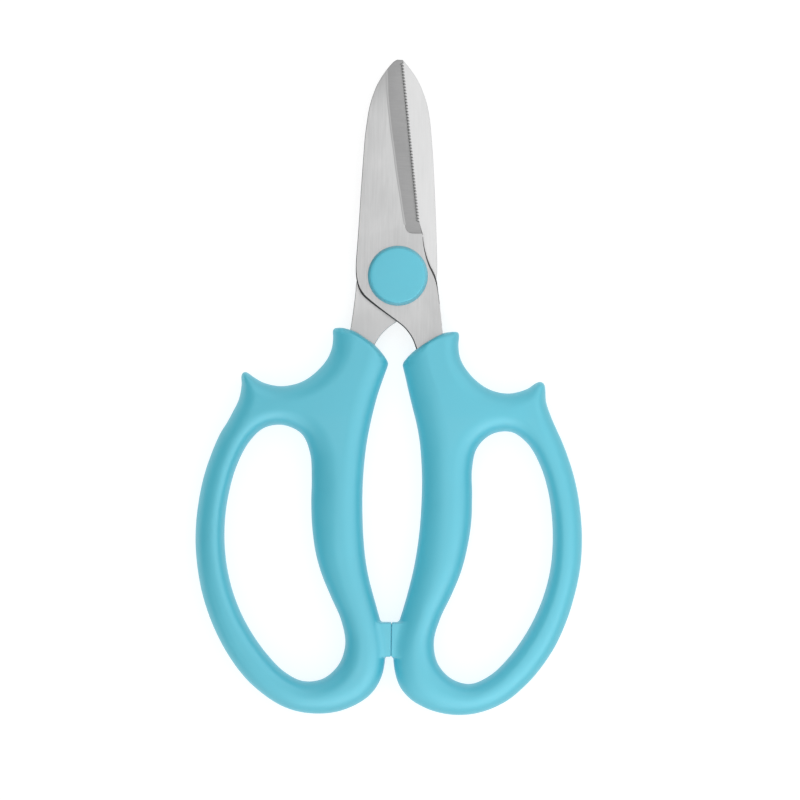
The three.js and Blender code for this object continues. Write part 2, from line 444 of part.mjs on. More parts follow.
// Low round head with a chamfer and a driver slot, double-D neck, round journal, threaded end.
let pivotBolt = solid(lathe([[0, HEAD_Z - 0.2], [HEAD_R, HEAD_Z - 0.2], [HEAD_R, HEAD_Z + HEAD_T - 0.3], [HEAD_R - 0.3, HEAD_Z + HEAD_T], [0, HEAD_Z + HEAD_T]]))
  .subtract(solid(extrude([[-8, -8], [8, -8], [8, 8], [-8, 8]], HEAD_Z - 0.5, HEAD_Z)))
  .add(solid(extrude(doubleD(NECK_R, NECK_FLAT), SHEAR_GAP, HEAD_Z + 0.2)))
  .add(solid(lathe([[0, THREAD_END], [THREAD_R - 0.35, THREAD_END], [THREAD_R, THREAD_END + 0.35], [THREAD_R, SHOULDER_Z], [JOURNAL_R, SHOULDER_Z], [JOURNAL_R, SHEAR_GAP + 0.4], [0, SHEAR_GAP + 0.4]])))
  .subtract(solid(extrude([[-9, -0.6], [9, -0.6], [9, 0.6], [-9, 0.6]], HEAD_Z + HEAD_T - 0.6, HEAD_Z + HEAD_T + 1)));

const headWasher = solid(extrude(circle(0, 0, 5.8), WASHER_Z[0], WASHER_Z[1], [circle(0, 0, NECK_R + 0.2)]));

// Three-wave spring washer between the rear blade and the nut.
function waveWasher(inner, outer, middle, half, swing) {
  const n = ROUND, v = [];
  const p = (i, r, up) => {
    const a = (2 * Math.PI * i) / n;
    return [r * Math.cos(a), r * Math.sin(a), middle + swing * Math.cos(3 * a) + up * half];
  };
  const quad = (a, b, c, d) => v.push(...a, ...b, ...c, ...a, ...c, ...d);
  for (let i = 0; i < n; i++) {
    const j = (i + 1) % n;
    quad(p(i, inner, 1), p(i, outer, 1), p(j, outer, 1), p(j, inner, 1));
    quad(p(i, inner, -1), p(j, inner, -1), p(j, outer, -1), p(i, outer, -1));
    quad(p(i, outer, -1), p(j, outer, -1), p(j, outer, 1), p(i, outer, 1));
    quad(p(i, inner, 1), p(j, inner, 1), p(j, inner, -1), p(i, inner, -1));
  }
  const g = new THREE.BufferGeometry();
  g.setAttribute("position", new THREE.BufferAttribute(new Float32Array(v), 3));
  return g;
}
const springWasher = solid(waveWasher(JOURNAL_R + 0.15, 4.9, (REAR_FACE + SHOULDER_Z) / 2 - 0.01, 0.11, 0.16));

// Thin flanged hexagon nut, 7 mm across flats.
const hexagon = Array.from({ length: 6 }, (_, i) => [(3.5 / Math.cos(Math.PI / 6)) * Math.cos((i * Math.PI) / 3), (3.5 / Math.cos(Math.PI / 6)) * Math.sin((i * Math.PI) / 3)]);
const NUT_TOP = SHOULDER_Z - 0.03;
const pivotNut = solid(lathe([[NUT_BORE_R, NUT_TOP], [NUT_BORE_R, NUT_TOP - 0.55], [5.3, NUT_TOP - 0.55], [5.6, NUT_TOP - 0.25], [5.6, NUT_TOP], [NUT_BORE_R, NUT_TOP]]))
  .add(solid(extrude(hexagon, NUT_TOP - 1.8, NUT_TOP - 0.3, [circle(0, 0, NUT_BORE_R)])))
  .subtract(solid(extrude(circle(0, 0, NUT_BORE_R), NUT_TOP - 3, NUT_TOP + 1)));

// Round press-on covers: a disc with a rounded rim, hollow inside for the bolt's head or the nut.
function cap(base, top, cavityR, roof) {
  const s = Math.sign(top - base), rim = 1.5;
  const arc = Array.from({ length: 6 }, (_, i) => {
    const a = (i / 5) * (Math.PI / 2);
    return [CAP_R - rim + rim * Math.cos(a), top - s * (rim + 0.12) + s * rim * Math.sin(a)];
  });
  const profile = [[0, roof], [cavityR, roof], [cavityR, base], [CAP_R, base], ...arc, [CAP_R - rim - 2.4, top], [0, top]];
  return solid(lathe(s > 0 ? profile : profile.reverse()));
}
const frontCap = cap(FRONT_FACE + 0.12, 5.6, 6.15, HEAD_Z + HEAD_T + 0.2);
const rearCap = cap(REAR_FACE - 0.12, -5.7, 5.75, THREAD_END - 0.15);

// ---------------------------------------------------------------- assembly
const steel = new THREE.MeshStandardMaterial({ color: 0xc8c8c8, roughness: 0.35, metalness: 1.0 });
const zinc = new THREE.MeshStandardMaterial({ color: 0xb4b6b8, roughness: 0.4, metalness: 1.0 });
const blue = new THREE.MeshStandardMaterial({ color: 0x6cc4d8, roughness: 0.55, metalness: 0.0 });
const nylon = new THREE.MeshStandardMaterial({ color: 0xe6e4dc, roughness: 0.6, metalness: 0.0 });

const snips = new THREE.Group();
const place = (name, made, material) => {
  const mesh = new THREE.Mesh(geometryOf(made), material.clone());
  mesh.name = name;
  mesh.position.set(-FRAME_X, -FRAME_Y, HANDLE_HALF);
  snips.add(mesh);
};
place("front_blade", frontBlade, steel);
place("rear_blade", rearBlade, steel);
place("right_handle", rightHandle, blue);
place("left_handle", leftHandle, blue);
place("pivot_bolt", pivotBolt, zinc);
place("head_washer", headWasher, nylon);
place("spring_washer", springWasher, zinc);
place("pivot_nut", pivotNut, zinc);
place("front_pivot_cap", frontCap, blue);
place("rear_pivot_cap", rearCap, blue);

export default snips;
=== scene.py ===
import json
import math

import bpy
import numpy as np
from mathutils import Matrix, Vector
from mathutils.geometry import delaunay_2d_cdt


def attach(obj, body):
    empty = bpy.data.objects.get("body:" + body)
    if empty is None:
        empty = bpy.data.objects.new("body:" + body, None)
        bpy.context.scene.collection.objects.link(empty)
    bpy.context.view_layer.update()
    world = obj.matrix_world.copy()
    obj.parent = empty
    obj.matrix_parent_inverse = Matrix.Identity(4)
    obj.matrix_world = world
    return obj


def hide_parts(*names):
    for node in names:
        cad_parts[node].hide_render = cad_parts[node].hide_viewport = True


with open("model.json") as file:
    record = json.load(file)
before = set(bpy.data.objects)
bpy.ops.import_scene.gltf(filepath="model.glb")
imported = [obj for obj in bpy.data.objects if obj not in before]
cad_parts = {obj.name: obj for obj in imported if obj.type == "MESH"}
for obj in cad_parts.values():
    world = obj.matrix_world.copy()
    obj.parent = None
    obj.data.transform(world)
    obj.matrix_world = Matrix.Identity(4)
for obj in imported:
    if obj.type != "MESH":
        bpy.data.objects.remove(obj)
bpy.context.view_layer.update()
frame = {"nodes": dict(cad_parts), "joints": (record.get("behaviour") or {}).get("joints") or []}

# The outlines are laid out in the tool's own plane, in millimetres: the pivot axis at
# x = 0, y = 0, the tips towards +Y and z = 0 midway between the blades.
PIVOT = np.array(frame["joints"][0]["pos_m"]) * 1000.0

# ------------------------------------------------------------------ sizes, mm
BLADE_T = 2.0
SHEAR_GAP = 0.05
EDGE_T = 0.14  # what the ground bevel leaves at the cutting edge
STRIP = 0.32  # half width of the soft line where the face runs into the bevel
TOOTH_PITCH, TOOTH_DEPTH, GROOVE = 0.95, 0.31, 1.3
HALF = 6.0  # half of a grip's thickness
NUB = dict(gap=0.01, low=-117.75, high=-107.3, half=3.65)
CAP_R = 9.26
PITCH = 0.5  # grid of the grips' surface

RIGHT_GRIP = [[19.2, -17.5], [18.8, -17.05], [17.6, -16.92], [14.3, -17.45], [9.95, -19.8], [6.3, -22.35], [3.6, -24.85], [2.25, -26.7],
  [1.95, -27.35], [2.05, -28.1], [2.66, -30.4], [3.98, -35.81], [5.27, -40.73], [6.41, -44.89], [7.53, -50.3], [8.25, -56.6], [8.6, -63.22], [8.55, -71.11], [8.14, -78.52],
  [7.35, -85.5], [6.4, -91.2], [5.1, -96.93], [3.5, -103.03], [1.75, -109.2], [0.72, -116.4], [1.45, -123.2], [3.3, -127.7],
  [6.5, -131.1], [10.2, -133.25], [14.2, -134.7], [19.6, -135.55], [25.3, -135.25], [30.0, -134.0], [33.8, -132.3], [37.2, -130.2],
  [40.8, -127.05], [44.0, -123.7], [46.6, -120.4], [48.7, -117.3], [50.6, -114.1], [52.2, -110.8], [53.6, -107.4], [55.0, -103.4],
  [56.2, -99.05], [57.25, -94.6], [58.1, -89.4], [58.49, -83.5], [58.35, -77.2], [57.7, -71.0], [56.7, -65.3], [55.3, -59.9],
  [53.6, -54.9], [51.8, -50.4], [50.0, -46.6], [48.2, -42.66], [46.6, -38.07], [46.3, -34.3], [46.1, -33.1], [45.5, -32.25], [44.55, -31.92],
  [43.3, -32.42], [40.5, -34.3], [35.0, -35.75], [29.5, -34.8], [25.24, -32.26], [21.67, -28.51], [19.75, -25.0], [19.15, -21.1], [19.32, -18.3]]
RIGHT_HOLE = [[36.04, -47.73], [30.05, -48.46], [25.56, -52.71], [24.08, -59.26], [24.25, -67.3], [24.15, -75.35], [23.13, -83.28],
  [21.29, -91.08], [18.45, -98.38], [15.11, -105.72], [13.24, -112.97], [14.52, -119.67], [18.76, -124.31], [24.74, -125.88],
  [30.95, -123.03], [36.45, -117.56], [40.98, -111.16], [44.54, -104.42], [47.22, -97.23], [48.9, -89.59], [49.43, -81.57],
  [49.01, -73.54], [47.69, -65.62], [45.19, -58.02], [41.2, -51.31]]
LEFT_GRIP = [[-46.6, -30.55], [-47.4, -30.8], [-47.88, -31.75], [-47.78, -34.6], [-48.55, -39.1], [-50.1, -42.48], [-51.95, -46.1], [-54.05, -49.6], [-55.65, -53.2],
  [-57.0, -56.8], [-58.25, -60.6], [-59.4, -65.1], [-60.4, -70.8], [-61.05, -76.9], [-61.15, -83.6], [-60.6, -90.0], [-59.6, -95.9],
  [-58.4, -100.7], [-57.0, -104.9], [-55.45, -108.8], [-53.6, -112.7], [-51.6, -116.3], [-49.35, -119.8], [-46.8, -123.2],
  [-43.8, -126.5], [-40.4, -129.4], [-36.7, -132.0], [-32.7, -134.1], [-27.9, -135.5], [-21.9, -135.95], [-16.6, -135.3],
  [-12.5, -133.9], [-9.1, -132.1], [-6.4, -130.0], [-4.2, -127.2], [-2.4, -122.9], [-1.75, -115.6], [-3.05, -108.5],
  [-4.8, -102.3], [-6.3, -97.3], [-7.6, -92.3], [-8.6, -86.6], [-9.3, -79.5], [-9.65, -72.1], [-9.68, -64.9], [-9.36, -58.5],
  [-8.75, -52.4], [-7.9, -47.2], [-6.82, -41.99], [-5.62, -37.12], [-4.1, -32.3], [-3.0, -29.1], [-2.53, -27.6],
  [-2.48, -27.0], [-2.75, -26.35], [-4.2, -24.2], [-6.75, -21.5], [-10.12, -19.13], [-13.2, -17.3], [-17.4, -16.27], [-19.1, -16.5],
  [-19.72, -16.95], [-19.85, -17.6], [-19.72, -19.4], [-20.0, -22.4], [-21.15, -25.6], [-23.47, -28.82],
  [-27.3, -32.2], [-30.9, -33.95], [-35.8, -34.75], [-41.0, -33.75], [-44.2, -32.0], [-45.7, -30.95]]
LEFT_HOLE = [[-28.98, -49.38], [-34.96, -46.8], [-40.71, -47.92], [-45.25, -52.46], [-48.75, -59.52], [-50.88, -67.09],
  [-52.02, -74.89], [-52.17, -82.78], [-51.3, -90.75], [-49.4, -98.34], [-46.63, -105.26], [-42.91, -111.79], [-38.23, -118.0],
  [-32.86, -123.2], [-27.03, -125.94], [-20.91, -125.07], [-16.1, -120.56], [-14.23, -114.15], [-15.64, -106.86],
  [-18.86, -99.79], [-21.93, -92.7], [-23.85, -86.3], [-25.06, -78.74], [-25.55, -70.87], [-25.55, -62.97], [-26.2, -55.31]]
RIGHT_END = [[18.2, -16.95], [17.6, -16.92], [14.3, -17.45], [9.95, -19.8], [6.3, -22.35], [3.6, -24.85], [2.5, -26.35]]
LEFT_END = [[-3.0, -25.95], [-4.2, -24.2], [-6.75, -21.5], [-10.12, -19.13], [-13.2, -17.3], [-17.4, -16.27], [-18.7, -16.4]]

# how far in from each edge the rounding of the section reaches: x, y on the edge, then that width
RIGHT_SOFT = [(2.0, -27, 9.0), (4, -36, 10.0), (6.4, -45, 9.4), (8.2, -56.6, 8.5), (8.6, -65.5, 8.4), (8.2, -77.5, 9.2), (6.7, -89.4, 9.6),
  (4, -101, 9.0), (1.1, -112.6, 8.4), (1.8, -124.5, 7.8), (6.5, -131.1, 7.0), (14.2, -134.7, 6.2), (25.3, -135.25, 5.4),
  (37.2, -130.2, 5.2), (46.6, -120.4, 5.0), (53.6, -107.4, 4.9), (58.1, -89.4, 4.8), (57.7, -71, 4.9), (53.6, -55, 5.2),
  (48.2, -42.7, 4.6), (46, -34, 3.6), (40.5, -34, 4.2), (35.3, -35.4, 5.5), (25.2, -32.3, 5.6), (19.8, -25.1, 5.0), (18.76, -18, 4.2)]
RIGHT_HOLE_SOFT = [(36, -47.7, 5.6), (30, -48.5, 6.2), (25.6, -52.7, 6.4), (24.1, -59.3, 6.6), (24.2, -67.3, 6.8), (23.1, -83.3, 6.8),
  (18.5, -98.4, 6.6), (13.2, -113, 6.0), (14.5, -119.7, 5.6), (18.8, -124.3, 5.2), (24.7, -125.9, 4.8), (31, -123, 4.3),
  (36.5, -117.6, 4.2), (44.5, -104.4, 4.3), (48.9, -89.6, 4.3), (49, -73.5, 4.0), (47.7, -65.6, 3.7), (45.2, -58, 3.6), (41.2, -51.3, 4.0)]
LEFT_SOFT = [(-48.7, -38.3, 5.4), (-52.3, -46, 5.5), (-55.65, -53.2, 5.6), (-59.4, -65, 5.7), (-61, -77, 5.4), (-60.6, -90, 4.8),
  (-57, -105, 4.5), (-51.6, -116, 4.3), (-43.8, -126.5, 4.4), (-32.7, -134, 4.8), (-21.9, -136, 5.4), (-12.5, -134, 5.8),
  (-4.2, -127, 6.0), (-1.75, -115.6, 6.0), (-4.8, -102, 6.4), (-8.6, -86.6, 6.6), (-9.7, -70, 6.6), (-9.36, -58.5, 6.6),
  (-7.9, -47, 6.8), (-5.6, -37, 7.0), (-2.83, -27.7, 6.6), (-20.2, -19.5, 7.4), (-21, -25, 6.8), (-24.7, -30, 6.6),
  (-29.7, -33.2, 5.6), (-36.8, -34.3, 5.2), (-44.2, -31.65, 4.0), (-46.74, -30.92, 3.6)]
LEFT_HOLE_SOFT = [(-35, -46.8, 5.6), (-29, -49.4, 7.0), (-26.2, -55.3, 8.4), (-25.55, -63, 9.2), (-25.5, -70.9, 9.2), (-25, -78.7, 8.6),
  (-23.9, -86.3, 7.0), (-21.9, -92.7, 6.6), (-18.9, -99.8, 5.8), (-15.6, -106.9, 5.2), (-14.2, -114, 5.4), (-16.1, -120.6, 6.2),
  (-20.9, -125, 5.8), (-27, -126, 4.8), (-32.9, -123.2, 4.2), (-42.9, -111.8, 3.8), (-49.4, -98.3, 3.7), (-52.2, -82.8, 3.7),
  (-50.9, -67, 3.7), (-45.25, -52.5, 4.4), (-40.7, -48, 5.0)]

FRONT = dict(
    tip=[0.42, 66.90],
    spine=[[-1.45, 66.93], [-2.35, 66.35], [-3.3, 65.35], [-4.4, 63.95], [-5.75, 62.0], [-6.65, 60.5], [-7.65, 58.6],
      [-8.45, 56.45], [-9.2, 54.2], [-9.9, 51.2], [-10.42, 47.5], [-10.93, 43.2], [-11.25, 38.2], [-11.55, 32.7], [-11.9, 26.5],
      [-12.16, 20.3], [-12.46, 14.1], [-12.82, 7.9], [-13.06, 3.0], [-12.98, 0.2], [-12.5, -2.6], [-11.7, -4.8], [-10.6, -6.4],
      [-8.92, -7.83], [-6.06, -9.98], [-3.2, -11.97], [-0.3, -14.0], [2.01, -15.75], [3.6, -17.52], [4.9, -19.54], [5.84, -21.85],
      [6.7, -24.4], [8.1, -28.8], [9.6, -34.0], [11.0, -40.0], [12.1, -47.0], [12.7, -54.0], [12.8, -60.6]],
    tang_end=[[13.4, -62.9], [16.2, -64.2], [19.0, -62.9]],
    back=[[19.6, -60.6], [19.5, -54.0], [19.0, -47.0], [18.1, -40.0], [16.9, -34.0], [15.6, -27.0], [14.7, -21.2],
      [14.12, -16.77], [13.21, -9.34], [12.5, -4.24], [12.0, -1.2], [11.2, 1.0], [9.91, 3.4], [8.67, 6.6], [7.82, 10.09], [7.42, 13.15]],
    heel=[6.42, 16.50],
    bevel=[[-5.45, 68.6], [-4.9, 65.6], [-4.68, 63.19], [-4.5, 61.2], [-4.26, 56.07], [-3.65, 50.6], [-2.83, 44.3], [-1.95, 38.63],
      [-1.31, 34.15], [-0.48, 29.0], [0.22, 25.15], [0.79, 21.6], [1.44, 17.83], [2.0, 15.0]],
    bevel_end=[[2.0, 15.0], [2.36, 14.15], [3.0, 13.5], [3.95, 13.2], [5.2, 13.15], [9.4, 13.15]],
    holes=[(13.6, -35.5), (15.9, -52.5)],
    # how far the edge is eased: x, y on the outline, width
    ease=[(0.0, 66.9, 0.10), (-9.9, 51.2, 0.14), (-12.5, 14.1, 0.14), (-13.06, 3.0, 0.18), (-12.5, -2.6, 0.36), (-11.2, -5.6, 0.62),
      (-8.92, -7.83, 0.55), (-3.2, -11.97, 0.38), (2.0, -15.75, 0.33), (5.84, -21.85, 0.32), (8.1, -28.8, 0.30), (11.0, -40.0, 0.15),
      (12.7, -54.0, 0.15), (16.2, -64.2, 0.15), (19.0, -47.0, 0.15), (15.6, -27.0, 0.15), (13.2, -9.3, 0.15), (12.5, -4.2, 0.20),
      (12.0, -1.2, 0.46), (11.2, 1.0, 0.58), (9.91, 3.4, 0.50), (8.67, 6.6, 0.33), (7.83, 10.1, 0.21), (7.4, 13.15, 0.165), (6.5, 16.0, 0.12)],
    out=1, serrated=True,
)
REAR = dict(
    tip=[-1.7, 66.35],
    spine=[[-1.1, 66.8], [-0.25, 66.92], [0.42, 66.72], [0.95, 66.2], [1.55, 65.5], [2.3, 64.6], [3.1, 63.6], [4.2, 62.1], [5.05, 60.75],
      [6.0, 58.95], [6.9, 56.8], [7.72, 54.5], [8.5, 51.5], [9.15, 47.8], [9.63, 43.5], [10.1, 38.6], [10.52, 33.1], [10.92, 26.9],
      [11.3, 20.7], [11.63, 14.5], [11.95, 8.3], [12.12, 3.6], [12.08, 0.6], [11.7, -2.2], [10.95, -4.8], [9.8, -6.6],
      [8.1, -8.2], [5.3, -10.3], [2.4, -12.35], [-0.58, -14.5], [-3.12, -16.45], [-5.13, -18.67], [-6.63, -21.18],
      [-7.6, -24.4], [-9.0, -28.8], [-10.5, -34.0], [-11.9, -40.0], [-13.1, -47.0], [-13.9, -54.0], [-14.1, -60.6]],
    tang_end=[[-14.7, -62.9], [-17.5, -64.2], [-20.3, -62.9]],
    back=[[-20.9, -60.6], [-20.7, -54.0], [-20.1, -47.0], [-19.1, -40.0], [-17.9, -34.0], [-16.4, -27.0], [-15.2, -21.2],
      [-14.29, -16.05], [-13.75, -11.92], [-13.1, -6.0], [-12.85, -2.6], [-12.2, 0.6], [-11.0, 3.2], [-9.65, 6.6], [-8.75, 10.1], [-8.3, 13.15]],
    heel=[-7.2, 16.5],
    bevel=[[3.75, 68.6], [3.3, 65.6], [3.1, 63.2], [2.9, 61.2], [2.56, 56.1], [2.05, 50.6], [1.2, 44.3], [0.35, 38.6],
      [-0.3, 34.15], [-1.05, 29.0], [-1.68, 25.15], [-2.25, 21.6], [-2.83, 17.83], [-3.3, 15.0]],
    bevel_end=[[-3.3, 15.0], [-3.63, 14.15], [-4.23, 13.5], [-5.1, 13.2], [-6.3, 13.15], [-10.3, 13.15]],
    holes=[(-14.5, -35.5), (-17.2, -52.5)],
    ease=[(-1.1, 66.8, 0.10), (9.1, 47.8, 0.15), (11.3, 20.7, 0.15), (12.1, 0.6, 0.15), (-3.1, -16.45, 0.15), (-9.0, -28.8, 0.15),
      (-17.5, -64.2, 0.15), (-15.2, -21.2, 0.15), (-13.1, -6.0, 0.15), (-8.75, 10.1, 0.15), (-7.3, 16.3, 0.12)],
    out=-1, serrated=False,
)


# ------------------------------------------------------------------ plane curves
def catmull(points, closed=False, per=12):
    """A dense centripetal Catmull-Rom curve through the points."""
    p = np.array(points, float)
    n = len(p)
    if closed:
        ext = np.vstack([p[-1], p, p[0], p[1]])
        spans = n
    else:
        ext = np.vstack([2 * p[0] - p[1], p, 2 * p[-1] - p[-2]])
        spans = n - 1
    out = []
    for i in range(spans):
        p0, p1, p2, p3 = ext[i], ext[i + 1], ext[i + 2], ext[i + 3]
        d = [max(1e-6, np.hypot(*(b - a)) ** 0.5) for a, b in ((p0, p1), (p1, p2), (p2, p3))]
        t0, t1 = 0.0, d[0]
        t2, t3 = t1 + d[1], t1 + d[1] + d[2]
        t = np.linspace(t1, t2, per, endpoint=False)[:, None]
        a1 = (t1 - t) / (t1 - t0) * p0 + (t - t0) / (t1 - t0) * p1
        a2 = (t2 - t) / (t2 - t1) * p1 + (t - t1) / (t2 - t1) * p2
        a3 = (t3 - t) / (t3 - t2) * p2 + (t - t2) / (t3 - t2) * p3
        b1 = (t2 - t) / (t2 - t0) * a1 + (t - t0) / (t2 - t0) * a2
        b2 = (t3 - t) / (t3 - t1) * a2 + (t - t1) / (t3 - t1) * a3
        out.append((t2 - t) / (t2 - t1) * b1 + (t - t1) / (t2 - t1) * b2)
    out = np.vstack(out)
    return out if closed else np.vstack([out, p[-1]])


def spaced(line, step, closed=False):
    """The same line with points about `step` apart."""
    p = np.vstack([line, line[:1]]) if closed else np.array(line, float)
    s = np.r_[0, np.cumsum(np.hypot(*np.diff(p, axis=0).T))]
    n = max(2, int(round(s[-1] / step)))
    t = np.linspace(0, s[-1], n + 1)
    out = np.c_[np.interp(t, s, p[:, 0]), np.interp(t, s, p[:, 1])]
    return out[:-1] if closed else out


def distance(P, line, closed):
    """Distance of each point to a polyline."""
    A = np.asarray(line, np.float32)
    B = np.roll(A, -1, 0) if closed else A[1:]
    A = A if closed else A[:-1]
    D = B - A
    L2 = (D * D).sum(1) + 1e-12
    P = np.asarray(P, np.float32)
    out = np.empty(len(P), np.float32)
    for i in range(0, len(P), 4096):
        px, py = P[i : i + 4096, 0:1], P[i : i + 4096, 1:2]
        ex, ey = px - A[:, 0], py - A[:, 1]
        t = np.clip((ex * D[:, 0] + ey * D[:, 1]) / L2, 0, 1)
        ex -= t * D[:, 0]
        ey -= t * D[:, 1]
        out[i : i + 4096] = np.sqrt((ex * ex + ey * ey).min(1))
    return out.astype(float)


def rounding(P, line, closed, width):
    """Smallest distance / width over a polyline whose points carry a width."""
    A = np.asarray(line, np.float32)
    wa = np.asarray(width, np.float32)
    B, wb = (np.roll(A, -1, 0), np.roll(wa, -1)) if closed else (A[1:], wa[1:])
    A, wa = (A, wa) if closed else (A[:-1], wa[:-1])
    D = B - A
    L2 = (D * D).sum(1) + 1e-12
    P = np.asarray(P, np.float32)
    out = np.empty(len(P), np.float32)
    for i in range(0, len(P), 4096):
        px, py = P[i : i + 4096, 0:1], P[i : i + 4096, 1:2]
        ex, ey = px - A[:, 0], py - A[:, 1]
        t = np.clip((ex * D[:, 0] + ey * D[:, 1]) / L2, 0, 1)
        ex -= t * D[:, 0]
        ey -= t * D[:, 1]
        d = ex * ex + ey * ey
        k = d.argmin(1)
        r = np.arange(len(k))
        out[i : i + 4096] = np.sqrt(d[r, k]) / (wa[k] + t[r, k] * (wb[k] - wa[k]))
    return out.astype(float)


def widths(line, knots):
    """The knots' widths spread along a closed line."""
    p = np.vstack([line, line[:1]])
    s = np.r_[0, np.cumsum(np.hypot(*np.diff(p, axis=0).T))]
    total = s[-1]
    at = sorted((float(s[np.argmin(np.hypot(line[:, 0] - x, line[:, 1] - y))]), w) for x, y, w in knots)
    xs = np.array([a for a, _ in at])
    ws = np.array([w for _, w in at])
    xs = np.r_[xs[-1] - total, xs, xs[0] + total]
    ws = np.r_[ws[-1], ws, ws[0]]
    w = np.interp(s[:-1], xs, ws)
    for _ in range(60):
        w = 0.25 * np.roll(w, 1) + 0.5 * w + 0.25 * np.roll(w, -1)
    return w


def inside(P, loop):
    x, y = np.asarray(P, float).T
    odd = np.zeros(len(x), bool)
    n = len(loop)
    for i in range(n):
        (x0, y0), (x1, y1) = loop[i], loop[(i + 1) % n]
        if y0 == y1:
            continue
        m = (y0 > y) != (y1 > y)
        odd ^= m & (x < (x1 - x0) * (y - y0) / (y1 - y0) + x0)
    return odd


def area(loop):
    x, y = np.asarray(loop, float).T
    return 0.5 * float((x * np.roll(y, -1) - np.roll(x, -1) * y).sum())


def smoothstep(a, b, x):
    t = np.clip((x - a) / (b - a), 0, 1)
    return t * t * (3 - 2 * t)


# ------------------------------------------------------------------ meshes
def new_object(name, verts, faces, body, replaces=(), sharp=None, normals=None):
    """A mesh from tool-frame millimetres, riding on its body."""
    co = (np.asarray(verts, float) + PIVOT) * 0.001
    mesh = bpy.data.meshes.new(name)
    if isinstance(faces, np.ndarray):
        k = faces.shape[1]
        mesh.vertices.add(len(co))
        mesh.vertices.foreach_set("co", co.astype(np.float32).ravel())
        mesh.loops.add(faces.size)
        mesh.loops.foreach_set("vertex_index", faces.astype(np.int32).ravel())
        mesh.polygons.add(len(faces))
        mesh.polygons.foreach_set("loop_start", np.arange(0, faces.size, k, dtype=np.int32))
        mesh.update(calc_edges=True)
    else:
        mesh.from_pydata([tuple(v) for v in co], [], faces)
    mesh.validate(clean_customdata=False)
    mesh.update()
    mesh.polygons.foreach_set("use_smooth", np.ones(len(mesh.polygons), bool))
    if sharp is not None:
        mesh.set_sharp_from_angle(angle=math.radians(sharp))
    if normals is not None:
        mesh.normals_split_custom_set_from_vertices([tuple(n) for n in normals])
    obj = bpy.data.objects.new(name, mesh)
    bpy.context.scene.collection.objects.link(obj)
    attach(obj, body)
    if replaces:
        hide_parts(*replaces)
    return obj


def lathe(profile, segments=144):
    """Vertices and quads of a closed profile (r, z) turned about the pivot axis. Points at r = 0 become one vertex."""
    verts, rings = [], []
    for r, z in profile:
        if r < 1e-6:
            rings.append([len(verts)] * segments)
            verts.append((0.0, 0.0, z))
        else:
            rings.append(list(range(len(verts), len(verts) + segments)))
            a = np.arange(segments) * 2 * math.pi / segments
            verts += [(r * math.cos(t), r * math.sin(t), z) for t in a]
    faces = []
    n = len(rings)
    closed = profile[0][0] > 1e-6
    for i in range(n if closed else n - 1):
        a, b = rings[i], rings[(i + 1) % n]
        for k in range(segments):
            m = (k + 1) % segments
            quad = [a[k], a[m], b[m], b[k]]
            face = [v for j, v in enumerate(quad) if v != quad[j - 1]]
            if len(face) > 2:
                faces.append(tuple(face))
    return verts, faces


# ------------------------------------------------------------------ grips
class Field:
    """A function on a plane grid, read back as a smooth cubic B-spline with its gradient."""

    def __init__(self, x0, y0, h, values):
        self.x0, self.y0, self.h, self.v = x0, y0, h, values

    def __call__(self, x, y):
        u, w = (x - self.x0) / self.h, (y - self.y0) / self.h
        nx, ny = self.v.shape
        i = np.clip(np.floor(u).astype(int), 1, nx - 3)
        j = np.clip(np.floor(w).astype(int), 1, ny - 3)
        a, b = u - i, w - j

        def weights(t):
            return (
                [(1 - t) ** 3 / 6, (3 * t**3 - 6 * t**2 + 4) / 6, (-3 * t**3 + 3 * t**2 + 3 * t + 1) / 6, t**3 / 6],
                [-((1 - t) ** 2) / 2, (3 * t**2 - 4 * t) / 2, (-3 * t**2 + 2 * t + 1) / 2, t**2 / 2],
            )

        wa, da = weights(a)
        wb, db = weights(b)
        f = np.zeros_like(u)
        fx = np.zeros_like(u)
        fy = np.zeros_like(u)
        for k in range(4):
            for m in range(4):
                q = self.v[i + k - 1, j + m - 1]
                f += wa[k] * wb[m] * q
                fx += da[k] * wb[m] * q
                fy += wa[k] * db[m] * q
        return f, fx / self.h, fy / self.h


def blurred(a, sigma):
    """Gaussian blur of a grid, sigma in cells."""
    r = int(math.ceil(3 * sigma))
    k = np.exp(-0.5 * (np.arange(-r, r + 1) / sigma) ** 2)
    k /= k.sum()
    for axis in (0, 1):
        p = np.pad(a, [(r, r) if ax == axis else (0, 0) for ax in (0, 1)], mode="edge")
        a = sum(w * np.take(p, range(i, i + a.shape[axis]), axis=axis) for i, w in enumerate(k))
    return a


